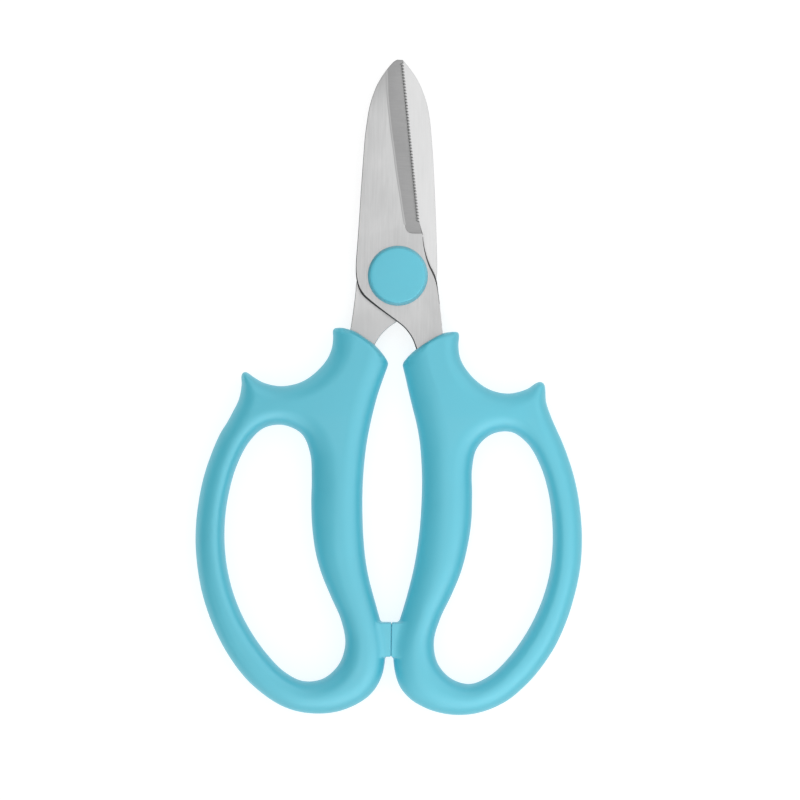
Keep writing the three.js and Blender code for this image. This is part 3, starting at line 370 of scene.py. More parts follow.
def surface(values, origin, h, g):
    """Quads round the region where a sampled function is positive, each vertex moved on to g = 0, and their normals."""
    inn = values > 0
    count = np.zeros(tuple(s - 1 for s in inn.shape), np.uint8)
    corners = [(a, b, c) for a in (0, 1) for b in (0, 1) for c in (0, 1)]
    nx, ny, nz = count.shape
    for a, b, c in corners:
        count += inn[a : a + nx, b : b + ny, c : c + nz]
    mixed = (count > 0) & (count < 8)
    cells = np.argwhere(mixed)
    index = np.full(count.shape, -1, np.int64)
    index[mixed] = np.arange(len(cells))
    cv = np.stack([values[cells[:, 0] + a, cells[:, 1] + b, cells[:, 2] + c] for a, b, c in corners], 1)
    pos = np.zeros((len(cells), 3))
    num = np.zeros(len(cells))
    for i, p in enumerate(corners):
        for j, q in enumerate(corners):
            if j <= i or sum(abs(s - t) for s, t in zip(p, q)) != 1:
                continue
            va, vb = cv[:, i], cv[:, j]
            m = (va > 0) != (vb > 0)
            t = np.where(m, va / np.where(m, va - vb, 1), 0)
            pos[m] += (np.array(p) + t[:, None] * (np.array(q) - np.array(p)))[m]
            num += m
    verts = origin + h * (cells + pos / num[:, None])
    start = verts.copy()
    for _ in range(5):
        f, gx, gy, gz = g(verts)
        grad = np.stack([gx, gy, gz], 1)
        step = f[:, None] * grad / np.maximum((grad**2).sum(1), 0.05)[:, None]
        size = np.linalg.norm(step, axis=1, keepdims=True)
        verts = verts - step * np.minimum(1, 0.2 / np.maximum(size, 1e-9))
        away = verts - start
        size = np.linalg.norm(away, axis=1, keepdims=True)
        verts = start + away * np.minimum(1, 0.75 * h / np.maximum(size, 1e-9))
    f, gx, gy, gz = g(verts)
    normals = -np.stack([gx, gy, gz], 1)
    normals /= np.maximum(np.linalg.norm(normals, axis=1, keepdims=True), 1e-9)
    quads = []
    for axis in range(3):
        lo = [slice(0, -1) if k == axis else slice(1, -1) for k in range(3)]
        hi = [slice(1, None) if k == axis else slice(1, -1) for k in range(3)]
        a, b = inn[tuple(lo)], inn[tuple(hi)]
        e = np.argwhere(a != b)
        first = a[tuple(e.T)]
        base = e + np.array([0 if k == axis else 1 for k in range(3)])
        u, w = [k for k in range(3) if k != axis]
        if axis == 1:
            u, w = w, u
        du, dw = np.eye(3, dtype=int)[u], np.eye(3, dtype=int)[w]
        ring = [base - du - dw, base - dw, base, base - du]
        q = np.stack([index[tuple(r.T)] for r in ring], 1)
        q[~first] = q[~first][:, ::-1]
        quads.append(q)
    return verts, np.vstack(quads), normals


def tang_outline(b):
    end = catmull([b["spine"][-1], *b["tang_end"], b["back"][0]], per=6)[1:-1]
    return np.vstack([catmull(b["spine"], per=4), end, catmull(b["back"], per=4), [b["heel"]], [b["tip"]]])


def make_grip(outline, hole, end, side, tang, soft, hole_soft):
    """One grip: full rounded section, flatter at the palm, crisp at the collar's end, with its stop and the pocket for its tang."""
    outer = spaced(catmull(outline, True), 0.5, True)
    inner = spaced(catmull(hole, True), 0.5, True)
    last = spaced(catmull(end), 0.4)
    near_end = distance(outer, last, False) < 0.3
    k = int(np.argmax(~near_end & np.roll(near_end, 1)))
    wide = widths(outer, soft)
    rolled, flags, wide = np.roll(outer, -k, 0), np.roll(near_end, -k), np.roll(wide, -k)
    sides, wide = rolled[: int(np.argmax(flags))], wide[: int(np.argmax(flags))]
    h = 0.3
    x0, y0 = outer.min(0) - 4.5
    x1, y1 = outer.max(0) + 4.5
    xs, ys = np.arange(x0, x1, h), np.arange(y0, y1, h)
    X, Y = np.meshgrid(xs, ys, indexing="ij")
    P = np.c_[X.ravel(), Y.ravel()]
    sign = np.where(inside(P, outer) & ~inside(P, inner), 1.0, -1.0).reshape(X.shape)
    sa = rounding(P, sides, False, wide).reshape(X.shape)
    sb = rounding(P, inner, True, widths(inner, hole_soft)).reshape(X.shape)
    sc = distance(P, last, False).reshape(X.shape) / 0.80
    blend = 0.22
    s1 = np.minimum(sa, sb) - 0.25 * blend * np.clip(1 - np.abs(sa - sb) / blend, 0, 1) ** 2
    s = np.minimum(s1, sc) - 0.25 * blend * np.clip(1 - np.abs(s1 - sc) / blend, 0, 1) ** 2
    s = sign * np.where(np.minimum(s1, sc) > 0.3, s, np.minimum(s1, sc))
    smooth = blurred(s, 0.85 / h)
    s = s + (smooth - s) * smoothstep(0.15, 0.5, s)
    p = 2.0
    prof = np.where(s > 0, 1 - (1 - np.clip(s, 0, 1)) ** p, p * s)
    half = HALF - 0.75 * smoothstep(-44, -17, Y)
    top = float((prof).max())
    section = Field(x0, y0, h, half**2 * prof / top)
    tang_d = distance(P, tang, True).reshape(X.shape)
    tang_s = np.where(inside(P, tang).reshape(X.shape), tang_d, -tang_d)
    pocket = Field(x0, y0, h, tang_s)
    z_low, z_high = (SHEAR_GAP, SHEAR_GAP + BLADE_T) if side > 0 else (-SHEAR_GAP - BLADE_T, -SHEAR_GAP)
    zc, zh = 0.5 * (z_low + z_high), 0.5 * BLADE_T

    def g(V):
        x, y, z = V.T
        f, fx, fy = section(x, y)
        a = 1 / (2 * HALF)
        f, fx, fy, fz = (f - z * z) * a, fx * a, fy * a, -2 * z * a
        # the stop, a block with rounded edges
        c = np.array([side * (NUB["gap"] + 6.0), 0.5 * (NUB["low"] + NUB["high"]), 0.0])
        b = np.array([6.0, 0.5 * (NUB["high"] - NUB["low"]), NUB["half"]])
        r = 0.16
        q = np.abs(V - c) - (b - r)
        sg = np.sign(V - c)
        qo = np.maximum(q, 0)
        ln = np.linalg.norm(qo, axis=1)
        bd = ln + np.minimum(q.max(1), 0) - r
        gr = np.where((ln > 1e-9)[:, None], qo / np.maximum(ln, 1e-9)[:, None], (q == q.max(1)[:, None]) * 1.0) * sg
        nf, ng = -bd, -gr
        keep = side * x < 5.0
        k1 = 1.1
        m = np.clip(0.5 + 0.5 * (nf - f) / k1, 0, 1) * keep
        add = k1 * m * (1 - m)
        f2 = np.where(keep, f + (nf - f) * m + add, f)
        gx = fx * (1 - m) + ng[:, 0] * m
        gy = fy * (1 - m) + ng[:, 1] * m
        gz = fz * (1 - m) + ng[:, 2] * m
        # nothing passes the closing plane
        wall = side * x - NUB["gap"]
        cut = wall < f2
        f2 = np.where(cut, wall, f2)
        gx, gy, gz = np.where(cut, side, gx), np.where(cut, 0, gy), np.where(cut, 0, gz)
        # the tang's pocket
        t, tx, ty = pocket(x, y)
        gap = 0.08
        u, v = t + gap, zh + gap - np.abs(z - zc)
        flat = v < u
        hole_d = np.where(flat, v, u)
        hx, hy, hz = np.where(flat, 0, tx), np.where(flat, 0, ty), np.where(flat, -np.sign(z - zc), 0)
        dig = -hole_d < f2
        return (
            np.where(dig, -hole_d, f2),
            np.where(dig, -hx, gx),
            np.where(dig, -hy, gy),
            np.where(dig, -hz, gz),
        )

    H = PITCH
    lo = np.array([outer[:, 0].min() - 1.2, outer[:, 1].min() - 1.2, -HALF - 1.0])
    if side > 0:
        lo[0] = -1.0
    hi = np.array([outer[:, 0].max() + 1.2, outer[:, 1].max() + 1.2, HALF + 1.0])
    if side < 0:
        hi[0] = 1.0
    gx, gy, gz = (np.arange(lo[k], hi[k] + H, H) for k in range(3))
    G = np.empty((len(gx), len(gy), len(gz)), np.float32)
    XX, YY = np.meshgrid(gx, gy, indexing="ij")
    for k, z in enumerate(gz):
        V = np.c_[XX.ravel(), YY.ravel(), np.full(XX.size, z)]
        G[:, :, k] = g(V)[0].reshape(XX.shape)
    verts, quads, normals = surface(G, lo, H, g)
    return verts, quads, normals


# ------------------------------------------------------------------ blades
def make_blade(b):
    """Plan triangulation with a chamfered outline, a ground bevel down to the cutting edge, and the front blade's fine teeth."""
    out = b["out"]
    z_face = out * (SHEAR_GAP + BLADE_T)
    z_in = out * SHEAR_GAP
    drop = BLADE_T - EDGE_T
    tip, heel = np.array(b["tip"]), np.array(b["heel"])
    bev = np.array(b["bevel"])
    order = np.argsort(bev[:, 1])
    by, bx = bev[order, 1], bev[order, 0]
    side = math.copysign(1, heel[0] - b["bevel"][-1][0])
    curve = catmull(b["bevel"], per=6)
    o = np.argsort(curve[:, 1])
    cy, cx = curve[o, 1], curve[o, 0]
    low = catmull(b["bevel_end"][:-1], per=6)
    low = np.vstack([low, [b["bevel_end"][-1]]])

    def bevel_x(y):
        return np.interp(y, cy, cx)

    def edge_x(y):
        return heel[0] + (tip[0] - heel[0]) * (y - heel[1]) / (tip[1] - heel[1])

    lo = np.argsort(side * low[:, 0])

    def end_y(x):
        return np.interp(side * x, side * low[lo, 0], low[lo, 1])

    RAMP = 0.12

    def depth(x, y):
        u = side * (x - bevel_x(np.maximum(y, 15.0)))
        u = 0.5 * (u + np.sqrt(u * u + STRIP**2))
        w = np.maximum(side * (edge_x(y) - bevel_x(np.maximum(y, 15.0))), 2.0)
        d = drop * np.clip(u / w, 0, 1.0)
        return d * np.clip((y - end_y(x)) / RAMP, 0, 1)

    # outline: spine, tang, shoulder without the cutting edge, then the edge
    spine = catmull(b["spine"], per=6)
    end = catmull([b["spine"][-1], *b["tang_end"], b["back"][0]], per=5)[1:-1]
    back = catmull(b["back"], per=6)
    plain = np.vstack([[tip], spine, end, back])
    edge, ridge, groove = [heel], [], []
    along = tip - heel
    L = np.hypot(*along)
    e = along / L
    inw = np.array([-side * abs(e[1]), 0.0])
    inw = np.array([-e[1], e[0]]) if np.dot([-e[1], e[0]], [-side, 0]) > 0 else np.array([e[1], -e[0]])
    if b["serrated"]:
        n = int((L - 1.1) / TOOTH_PITCH)
        for i in range(n + 1):
            t0 = 0.45 + i * TOOTH_PITCH
            for dt in (-0.15, 0.15):
                edge.append(heel + e * (t0 + dt))
                ridge.append((len(edge) - 1, heel + e * (t0 + 0.75 * dt) + inw * 0.40))
            if i < n:
                t1 = t0 + 0.5 * TOOTH_PITCH
                for dt in (-0.13, 0.13):
                    edge.append(heel + e * (t1 + dt) + inw * TOOTH_DEPTH)
                    groove.append((len(edge) - 1, heel + e * (t1 + 0.5 * dt) + inw * 0.75, heel + e * t1 + inw * (GROOVE + 0.1 * np.sign(dt))))
    else:
        for t in np.arange(2.0, L - 1, 2.0):
            edge.append(heel + e * t)
    edge = np.array(edge)
    loop = np.vstack([plain, edge])
    n_plain, n_loop = len(plain), len(loop)
    ccw = area(loop) > 0
    # inset of the plain part, for the chamfer
    nxt = np.roll(loop, -1, 0) - loop
    nxt /= np.maximum(np.hypot(*nxt.T)[:, None], 1e-9)
    prv = np.roll(nxt, 1, 0)
    m = nxt + prv
    m /= np.maximum(np.hypot(*m.T)[:, None], 1e-9)
    nrm = np.c_[-m[:, 1], m[:, 0]] * (1 if ccw else -1)
    c = np.clip((nrm * (np.c_[-nxt[:, 1], nxt[:, 0]] * (1 if ccw else -1))).sum(1), 0.5, 1)
    knots = sorted((float(np.argmin(np.hypot(*(plain - [x, y]).T))), w_) for x, y, w_ in b["ease"])
    eased = np.interp(np.arange(n_loop), [k for k, _ in knots], [w_ for _, w_ in knots])
    inset = loop + nrm * (eased / c)[:, None]
    chamfer_line = np.vstack([[tip], inset[1:n_plain], [heel]])
    pts, edges, kind = [], [], []

    def put(points, closed=False, k=0):
        base = len(pts)
        for q in points:
            pts.append(Vector((float(q[0]), float(q[1]))))
            kind.append(k)
        m_ = len(points)
        for i in range(m_ if closed else m_ - 1):
            edges.append((base + i, base + (i + 1) % m_))
        return base

    base = put(loop, True)
    put(chamfer_line[1:-1])
    first = len(pts) - (len(chamfer_line) - 2)
    edges.append((base, first))
    edges.append((base + n_plain, len(pts) - 1))
    bl = curve[(curve[:, 1] >= 15.0)]
    put(np.vstack([bl[np.argsort(-bl[:, 1])], low[1:]]))
    off = low[1:] + np.array([0, RAMP])
    put(np.vstack([[bevel_x(15.4) + side * 0.25, 15.4], off]))
    for d in (-STRIP, STRIP):
        line = bl[np.argsort(-bl[:, 1])] + [d, 0]
        put(line[(line[:, 1] > 15.6)])
    for i, q in ridge:
        edges.append((base + n_plain + i, put([q])))
    for i, q, q2 in groove:
        k = put([q, q2])
        edges.append((base + n_plain + i, k))
    holes = []
    if out > 0:
        a = (np.arange(96) + 0.5) * 2 * math.pi / 96
        ring = np.c_[np.clip(3.1 * np.cos(a), -2.6, 2.6), 3.1 * np.sin(a)]
    else:
        a = (np.arange(96) + 0.5) * 2 * math.pi / 96
        ring = 2.53 * np.c_[np.cos(a), np.sin(a)]
    holes.append(ring)
    for cx_, cy_ in b["holes"]:
        a = (np.arange(40) + 0.5) * 2 * math.pi / 40
        holes.append(np.array([cx_, cy_]) + 1.8 * np.c_[np.cos(a), np.sin(a)])
    for ring in holes:
        put(ring, True)
    vs, es, fs, ov, oe, of_ = delaunay_2d_cdt(pts, edges, [], 0, 1e-5, True)
    V = np.array([[v[0], v[1]] for v in vs])
    F = np.array([f for f in fs if len(f) == 3])
    cen = V[F].mean(1)
    ok = inside(cen, loop)
    for ring in holes:
        ok &= ~inside(cen, ring)
    F = F[ok]
    tri = V[F]
    ar = np.cross(tri[:, 1] - tri[:, 0], tri[:, 2] - tri[:, 0])
    F = F[np.abs(ar) > 1e-9]
    ar = ar[np.abs(ar) > 1e-9]
    F[ar < 0] = F[ar < 0][:, ::-1]
    used = np.unique(F)
    remap = np.full(len(V), -1)
    remap[used] = np.arange(len(used))
    V, F = V[used], remap[F]
    # heights
    dpt = depth(V[:, 0], V[:, 1])
    on_plain = distance(V, np.vstack([plain, [heel]]), False) < 2e-3
    on_edge = distance(V, np.vstack([[heel], edge, [tip]]), False) < 2e-3
    on_holes = np.zeros(len(V), bool)
    for ring in holes:
        on_holes |= distance(V, ring, True) < 2e-3
    top = BLADE_T - dpt
    width = eased[np.argmin(((V[:, None, :] - plain[None]) ** 2).sum(2), axis=1)] if len(V) else eased[:0]
    top = np.where(on_plain & ~on_edge, np.maximum(top - 0.7 * width - 0.4 * np.maximum(width - 0.2, 0), 0.18), top)
    facet_shade = np.zeros(len(V), bool)
    if b["serrated"]:
        deep = distance(V, np.array([heel, tip]), False)
        notch = on_edge & (deep > 0.5 * TOOTH_DEPTH)
        floor_pts = np.array([q for _, q, _ in groove])
        sunk = np.hypot(*(V[:, None, :] - floor_pts[None]).transpose(2, 0, 1)).min(1) < 2e-3
        top = np.where(notch, np.maximum(top - 0.12, 0.07), top)
        top = np.where(sunk, np.maximum(top - 0.22, 0.09), top)
        # the small facet ground on each tooth; its faces get a darker steel as painted shade of the serrations
        tooth_pts = np.vstack([edge[[k for k, _ in ridge]], [q for _, q in ridge]])
        facet_shade = np.hypot(*(V[:, None, :] - tooth_pts[None]).transpose(2, 0, 1)).min(1) < 2e-3
    bottom = np.where(on_plain & ~on_edge, 0.13, 0.0)
    top = np.maximum(top, bottom + 0.05)
    zt, zb = z_in + out * top, z_in + out * bottom
    n = len(V)
    verts = np.vstack([np.c_[V, zt], np.c_[V, zb]])
    FT, FB = F, F[:, ::-1] + n
    ed = {}
    for f in F:
        for i in range(3):
            ed[(int(f[i]), int(f[(i + 1) % 3]))] = True
    walls = [(b_, a_, a_ + n, b_ + n) for (a_, b_) in ed if (b_, a_) not in ed]
    faces = [tuple(int(i) for i in f) for f in FT] + [tuple(int(i) for i in f) for f in FB] + walls
    if out < 0:
        faces = [f[::-1] for f in faces]
    # materials: 0 face, 1 bevel (its darker tone partly painted shade), 2 the soft line between them, 3 near-black
    # steel on the wide chamfers, a painted shadow where the front blade lies over the rear one, 4 tooth facet, darkened
    # as painted shade
    mid = V[F].mean(1)
    slot = np.zeros(len(faces), int)
    u = side * (mid[:, 0] - bevel_x(np.maximum(mid[:, 1], 15.0)))
    deep_enough = (depth(mid[:, 0], mid[:, 1]) > 0.02) & (mid[:, 1] > end_y(mid[:, 0]))
    n_f = len(F)
    slot[:n_f] = np.where(deep_enough & (u > 0), 1, 0)
    slot[:n_f] = np.where(deep_enough & (np.abs(u) < STRIP) & (mid[:, 1] > 15.6), 2, slot[:n_f])
    # chamfers wider than 0.16 mm take the near-black steel: a painted shadow along the edges where the front blade lies
    # over the rear one
    rim = on_plain & ~on_edge & (width > 0.16)
    slot[:n_f] = np.where(rim[F].any(1), 3, slot[:n_f])
    slot[:n_f] = np.where(facet_shade[F].all(1), 4, slot[:n_f])
    return verts, faces, slot


# ------------------------------------------------------------------ materials
def material(name):
    m = bpy.data.materials.new(name)
    m.use_nodes = True
    nt = m.node_tree
    nt.nodes.clear()
    out = nt.nodes.new("ShaderNodeOutputMaterial")
    bsdf = nt.nodes.new("ShaderNodeBsdfPrincipled")
    nt.links.new(bsdf.outputs[0], out.inputs[0])
    return m, nt, bsdf


def node(nt, kind, **values):
    n = nt.nodes.new(kind)
    for k, v in values.items():
        if k.startswith("in_"):
            key = k[3:]
            n.inputs[int(key) if key.isdigit() else key.replace("_", " ")].default_value = v
        else:
            setattr(n, k, v)
    return n


def ramp(nt, source, stops):
    r = nt.nodes.new("ShaderNodeValToRGB")
    e = r.color_ramp.elements
    while len(e) < len(stops):
        e.new(0.5)
    for el, (p, c) in zip(e, stops):
        el.position = p
        el.color = (*c, 1) if len(c) == 3 else c
    nt.links.new(source, r.inputs[0])
    return r.outputs[0]


def mapped(nt, scale, rotation=(0, 0, 0)):
    tc = nt.nodes.new("ShaderNodeTexCoord")
    mp = nt.nodes.new("ShaderNodeMapping")
    mp.inputs["Scale"].default_value = scale
    mp.inputs["Rotation"].default_value = rotation
    nt.links.new(tc.outputs["Object"], mp.inputs[0])
    return mp.outputs[0]


def math_node(nt, op, a, b=None, clamp=False):
    n = nt.nodes.new("ShaderNodeMath")
    n.operation = op
    n.use_clamp = clamp
    for i, v in enumerate((a, b)):
        if v is None:
            continue
        if isinstance(v, (int, float)):
            n.inputs[i].default_value = v
        else:
            nt.links.new(v, n.inputs[i])
    return n.outputs[0]


def plastic(name, tint=1.0, rough=0.40):
    """Satin moulded plastic: fine spark-eroded texture, faint flow marks, a parting line at mid thickness."""
    m, nt, bsdf = material(name)
    c = [0.058 * tint, 0.507 * tint, 0.650 * tint]
    flow = node(nt, "ShaderNodeTexNoise", in_Scale=1.0, in_Detail=3.0, in_Roughness=0.5, in_Distortion=0.6)
    nt.links.new(mapped(nt, (40, 22, 40)), flow.inputs["Vector"])
    col = ramp(nt, flow.outputs[0], [(0.25, [v * 0.955 for v in c]), (0.75, [v * 1.03 for v in c])])
    fine = node(nt, "ShaderNodeTexNoise", in_Scale=1.0, in_Detail=4.0, in_Roughness=0.6)
    nt.links.new(mapped(nt, (2600, 2600, 2600)), fine.inputs["Vector"])
    mid = node(nt, "ShaderNodeTexNoise", in_Scale=1.0, in_Detail=2.0, in_Roughness=0.5)
    nt.links.new(mapped(nt, (240, 240, 240)), mid.inputs["Vector"])
    nt.links.new(col, bsdf.inputs["Base Color"])
    r = math_node(nt, "MULTIPLY", mid.outputs[0], 0.12)
    r = math_node(nt, "ADD", r, rough - 0.05)
    nt.links.new(r, bsdf.inputs["Roughness"])
    # parting line: a hair of flash round the mid plane
    tc = nt.nodes.new("ShaderNodeTexCoord")
    sep = nt.nodes.new("ShaderNodeSeparateXYZ")
    nt.links.new(tc.outputs["Object"], sep.inputs[0])
    dz = math_node(nt, "ABSOLUTE", math_node(nt, "SUBTRACT", sep.outputs[2], float(PIVOT[2]) * 0.001))
    line = math_node(nt, "SUBTRACT", 1.0, math_node(nt, "DIVIDE", dz, 0.00014), clamp=True)
    height = math_node(nt, "ADD", math_node(nt, "MULTIPLY", fine.outputs[0], 0.5), math_node(nt, "MULTIPLY", line, 1.6))
    bump = node(nt, "ShaderNodeBump", in_Strength=0.22, in_Distance=0.00006)
    nt.links.new(height, bump.inputs["Height"])
    nt.links.new(bump.outputs[0], bsdf.inputs["Normal"])
    bsdf.inputs["IOR"].default_value = 1.5
    bsdf.inputs["Specular IOR Level"].default_value = 0.95
    return m


def steel(name, tone=0.62, rough=0.34, angle=0.0, cross=False, mottle=0.06, zones=()):
    """Brushed stainless steel: streaks along the blade at two scales and cloudy variation."""
    m, nt, bsdf = material(name)
    bsdf.inputs["Metallic"].default_value = 1.0
    bsdf.inputs["Specular Tint"].default_value = (0.62, 0.62, 0.62, 1)
    rot = (0, 0, angle)
    s1 = node(nt, "ShaderNodeTexNoise", in_Scale=1.0, in_Detail=5.0, in_Roughness=0.62)
    nt.links.new(mapped(nt, (260, 2600, 260) if cross else (2600, 60, 260), rot), s1.inputs["Vector"])
    s2 = node(nt, "ShaderNodeTexNoise", in_Scale=1.0, in_Detail=4.0, in_Roughness=0.55)
    nt.links.new(mapped(nt, (120, 900, 260) if cross else (1250, 110, 200), rot), s2.inputs["Vector"])
    cloud = node(nt, "ShaderNodeTexNoise", in_Scale=1.0, in_Detail=3.0, in_Roughness=0.5, in_Distortion=0.4)
    nt.links.new(mapped(nt, (110, 55, 110), rot), cloud.inputs["Vector"])
    mix = math_node(nt, "ADD", math_node(nt, "MULTIPLY", s1.outputs[0], 0.34), math_node(nt, "MULTIPLY", s2.outputs[0], 0.3))
    mix = math_node(nt, "ADD", mix, math_node(nt, "MULTIPLY", cloud.outputs[0], 0.36))
    a, b = tone * (1 - mottle), tone * (1 + mottle)
    col = ramp(nt, mix, [(0.36, [a, a * 1.003, a * 1.006]), (0.64, [b, b, b * 1.002])])
    if zones:
        # darker stretches along y, at a tone factor: painted shade at the front blade's tip, and a plain darkening
        # towards the tang: (y from, y to, tone there)
        tc = nt.nodes.new("ShaderNodeTexCoord")
        sep = nt.nodes.new("ShaderNodeSeparateXYZ")
        nt.links.new(tc.outputs["Object"], sep.inputs[0])
        for y0, y1, part in zones:
            z = nt.nodes.new("ShaderNodeMapRange")
            z.interpolation_type = "SMOOTHSTEP"
            for i, v in enumerate((y0, y1, 1.0, part)):
                z.inputs[i + 1].default_value = v
            wander = math_node(nt, "ADD", sep.outputs[1], math_node(nt, "MULTIPLY", math_node(nt, "SUBTRACT", cloud.outputs[0], 0.5), 0.012))
            nt.links.new(wander, z.inputs[0])
            mul = nt.nodes.new("ShaderNodeVectorMath")
            mul.operation = "SCALE"
            nt.links.new(col, mul.inputs[0])
            nt.links.new(z.outputs[0], mul.inputs["Scale"])
            col = mul.outputs[0]
    nt.links.new(col, bsdf.inputs["Base Color"])
    r = math_node(nt, "MULTIPLY", s2.outputs[0], 0.16)
    r = math_node(nt, "ADD", r, rough - 0.08)
    nt.links.new(r, bsdf.inputs["Roughness"])
    bump = node(nt, "ShaderNodeBump", in_Strength=0.25, in_Distance=0.00003)
    nt.links.new(math_node(nt, "ADD", s1.outputs[0], math_node(nt, "MULTIPLY", s2.outputs[0], 0.6)), bump.inputs["Height"])
    nt.links.new(bump.outputs[0], bsdf.inputs["Normal"])
    return m


def zinc(name):
    m, nt, bsdf = material(name)
    bsdf.inputs["Metallic"].default_value = 1.0
    n = node(nt, "ShaderNodeTexNoise", in_Scale=1.0, in_Detail=4.0)
    nt.links.new(mapped(nt, (900, 900, 900)), n.inputs["Vector"])
    nt.links.new(ramp(nt, n.outputs[0], [(0.3, (0.46, 0.47, 0.48)), (0.7, (0.6, 0.61, 0.62))]), bsdf.inputs["Base Color"])
    nt.links.new(math_node(nt, "ADD", math_node(nt, "MULTIPLY", n.outputs[0], 0.2), 0.25), bsdf.inputs["Roughness"])
    return m


def nylon(name):
    m, nt, bsdf = material(name)
    n = node(nt, "ShaderNodeTexNoise", in_Scale=1.0, in_Detail=3.0)
    nt.links.new(mapped(nt, (700, 700, 700)), n.inputs["Vector"])
    nt.links.new(ramp(nt, n.outputs[0], [(0.3, (0.72, 0.70, 0.64)), (0.7, (0.8, 0.78, 0.73))]), bsdf.inputs["Base Color"])
    nt.links.new(math_node(nt, "ADD", math_node(nt, "MULTIPLY", n.outputs[0], 0.15), 0.45), bsdf.inputs["Roughness"])
    return m


def give(obj, mat):
    obj.data.materials.clear()
    obj.data.materials.append(mat)


BLUE = plastic("grip_plastic")
BLUE_CAP = plastic("cap_plastic", tint=1.0, rough=0.40)
# front blade: the tip stretch is painted shade where the tip runs past the overhead light; both blades turn darker
# towards the tang
STEEL_FRONT = steel("front_blade_steel", tone=0.384, angle=math.radians(3), mottle=0.105, zones=((0.083, 0.101, 0.66), (0.040, 0.010, 0.93)))
STEEL_REAR = steel("rear_blade_steel", tone=0.474, angle=math.radians(-2), mottle=0.045, zones=((0.035, 0.020, 0.79),))
# the bevel and its runout are darker than the faces: the cross grind is real, the lower tone is painted shade for the
# dimmer surroundings the bevel's slope reflects
GROUND = steel("ground_bevel_steel", tone=0.190, rough=0.40, angle=math.radians(3), cross=True, mottle=0.09)
RUNOUT = steel("bevel_runout_steel", tone=0.262, rough=0.38, angle=math.radians(3), mottle=0.08)
# near-black steel: painted shadow on the front blade's wide chamfers by the heel, tang and shoulder
SHADE_EDGE = steel("shade_edge_steel", tone=0.060, rough=0.50, mottle=0.25)
# darker steel on the tooth facets: painted shade of the serrations
TOOTH = steel("tooth_facet_shade_steel", tone=0.120, rough=0.45, mottle=0.15)
ZINC, NYLON = zinc("zinc_plate"), nylon("nylon")

# ------------------------------------------------------------------ pieces
tangs = {1: tang_outline(FRONT), -1: tang_outline(REAR)}
for name, body, outline, hole, end, side, soft, hole_soft in (
    ("right_grip", "front_half", RIGHT_GRIP, RIGHT_HOLE, RIGHT_END, 1, RIGHT_SOFT, RIGHT_HOLE_SOFT),
    ("left_grip", "rear_half", LEFT_GRIP, LEFT_HOLE, LEFT_END, -1, LEFT_SOFT, LEFT_HOLE_SOFT),
):
    v, q, nrm = make_grip(outline, hole, end, side, tangs[side], soft, hole_soft)
    o = new_object(name, v, q, body, [name.replace("grip", "handle")], normals=nrm)
    give(o, BLUE)

for name, body, data, mat in (
    ("front_blade_ground", "front_half", FRONT, STEEL_FRONT),
    ("rear_blade_ground", "rear_half", REAR, STEEL_REAR),
):
    v, f, index = make_blade(data)
    o = new_object(name, v, f, body, [name.replace("_ground", "")], sharp=17)
    give(o, mat)
    for extra in (GROUND, RUNOUT, SHADE_EDGE, TOOTH):
        o.data.materials.append(extra)
    o.data.polygons.foreach_set("material_index", np.asarray(index, np.int32))


def fillet(cx, cz, r, a0, a1, n):
    return [(cx + r * math.cos(math.radians(a)), cz + r * math.sin(math.radians(a))) for a in np.linspace(a0, a1, n)]


def cap_profile(base, top, cavity, roof, rim=0.55, taper=0.72):
    """Half section of a cover that opens downwards: crowned top, rounded rim, tapered skirt with a small lead-in."""
    crown = 0.14
    p = [(0.0, roof), (cavity - 0.3, roof), (cavity, roof - 0.3), (cavity, base + 0.2), (cavity + 0.2, base)]
    p += fillet(CAP_R - 0.3, base + 0.3, 0.3, -90, 0, 5)
    p += fillet(CAP_R - taper - rim, top - crown - rim, rim, 14, 84, 10)
    edge = p[-1][0]
    for t in (0.9, 0.72, 0.5, 0.25, 0.1):
        r = edge * t
        p.append((r, top - crown * (r / CAP_R) ** 2))
    p.append((0.0, top))
    return p


v, f = lathe(cap_profile(2.17, 5.6, 6.15, 3.81))
o = new_object("front_cap", v, f, "front_half", ["front_pivot_cap"], sharp=40)
give(o, BLUE_CAP)
prof = [(r, -z) for r, z in cap_profile(2.17, 5.7, 5.75, 4.85)][::-1]
v, f = lathe(prof)
o = new_object("rear_cap", v, f, "front_half", ["rear_pivot_cap"], sharp=40)
give(o, BLUE_CAP)

for n in ("pivot_bolt", "spring_washer", "pivot_nut"):
    give(frame["nodes"][n], ZINC)
give(frame["nodes"]["head_washer"], NYLON)

# ------------------------------------------------------------------ stage, light, camera
scene = bpy.context.scene
scene.view_settings.view_transform = "Standard"
scene.view_settings.look = "None"
scene.view_settings.exposure = 0.0
scene.view_settings.gamma = 1.0

bpy.ops.mesh.primitive_plane_add(size=8, location=(0, 0, -0.0001))
floor = bpy.context.object
floor.name = "floor"
fm, nt, bsdf = material("floor_pale")
bsdf.inputs["Base Color"].default_value = (0.42, 0.42, 0.42, 1)
bsdf.inputs["Roughness"].default_value = 0.9
bsdf.inputs["Specular IOR Level"].default_value = 0.0
bsdf.inputs["Emission Color"].default_value = (1, 1, 1, 1)
bsdf.inputs["Emission Strength"].default_value = 0.74
give(floor, fm)

# soft surroundings: dim to the left and the back, bright to the right and the front
world = bpy.data.worlds.new("studio")
scene.world = world
world.use_nodes = True
nt = world.node_tree
nt.nodes.clear()
tc = nt.nodes.new("ShaderNodeTexCoord")
sep = nt.nodes.new("ShaderNodeSeparateXYZ")
nt.links.new(tc.outputs["Generated"], sep.inputs[0])


def step_range(source, a, b, lo, hi):
    m = nt.nodes.new("ShaderNodeMapRange")
    m.interpolation_type = "SMOOTHSTEP"
    for i, v in enumerate((a, b, lo, hi)):
        m.inputs[i + 1].default_value = v
    nt.links.new(source, m.inputs[0])
    return m.outputs[0]


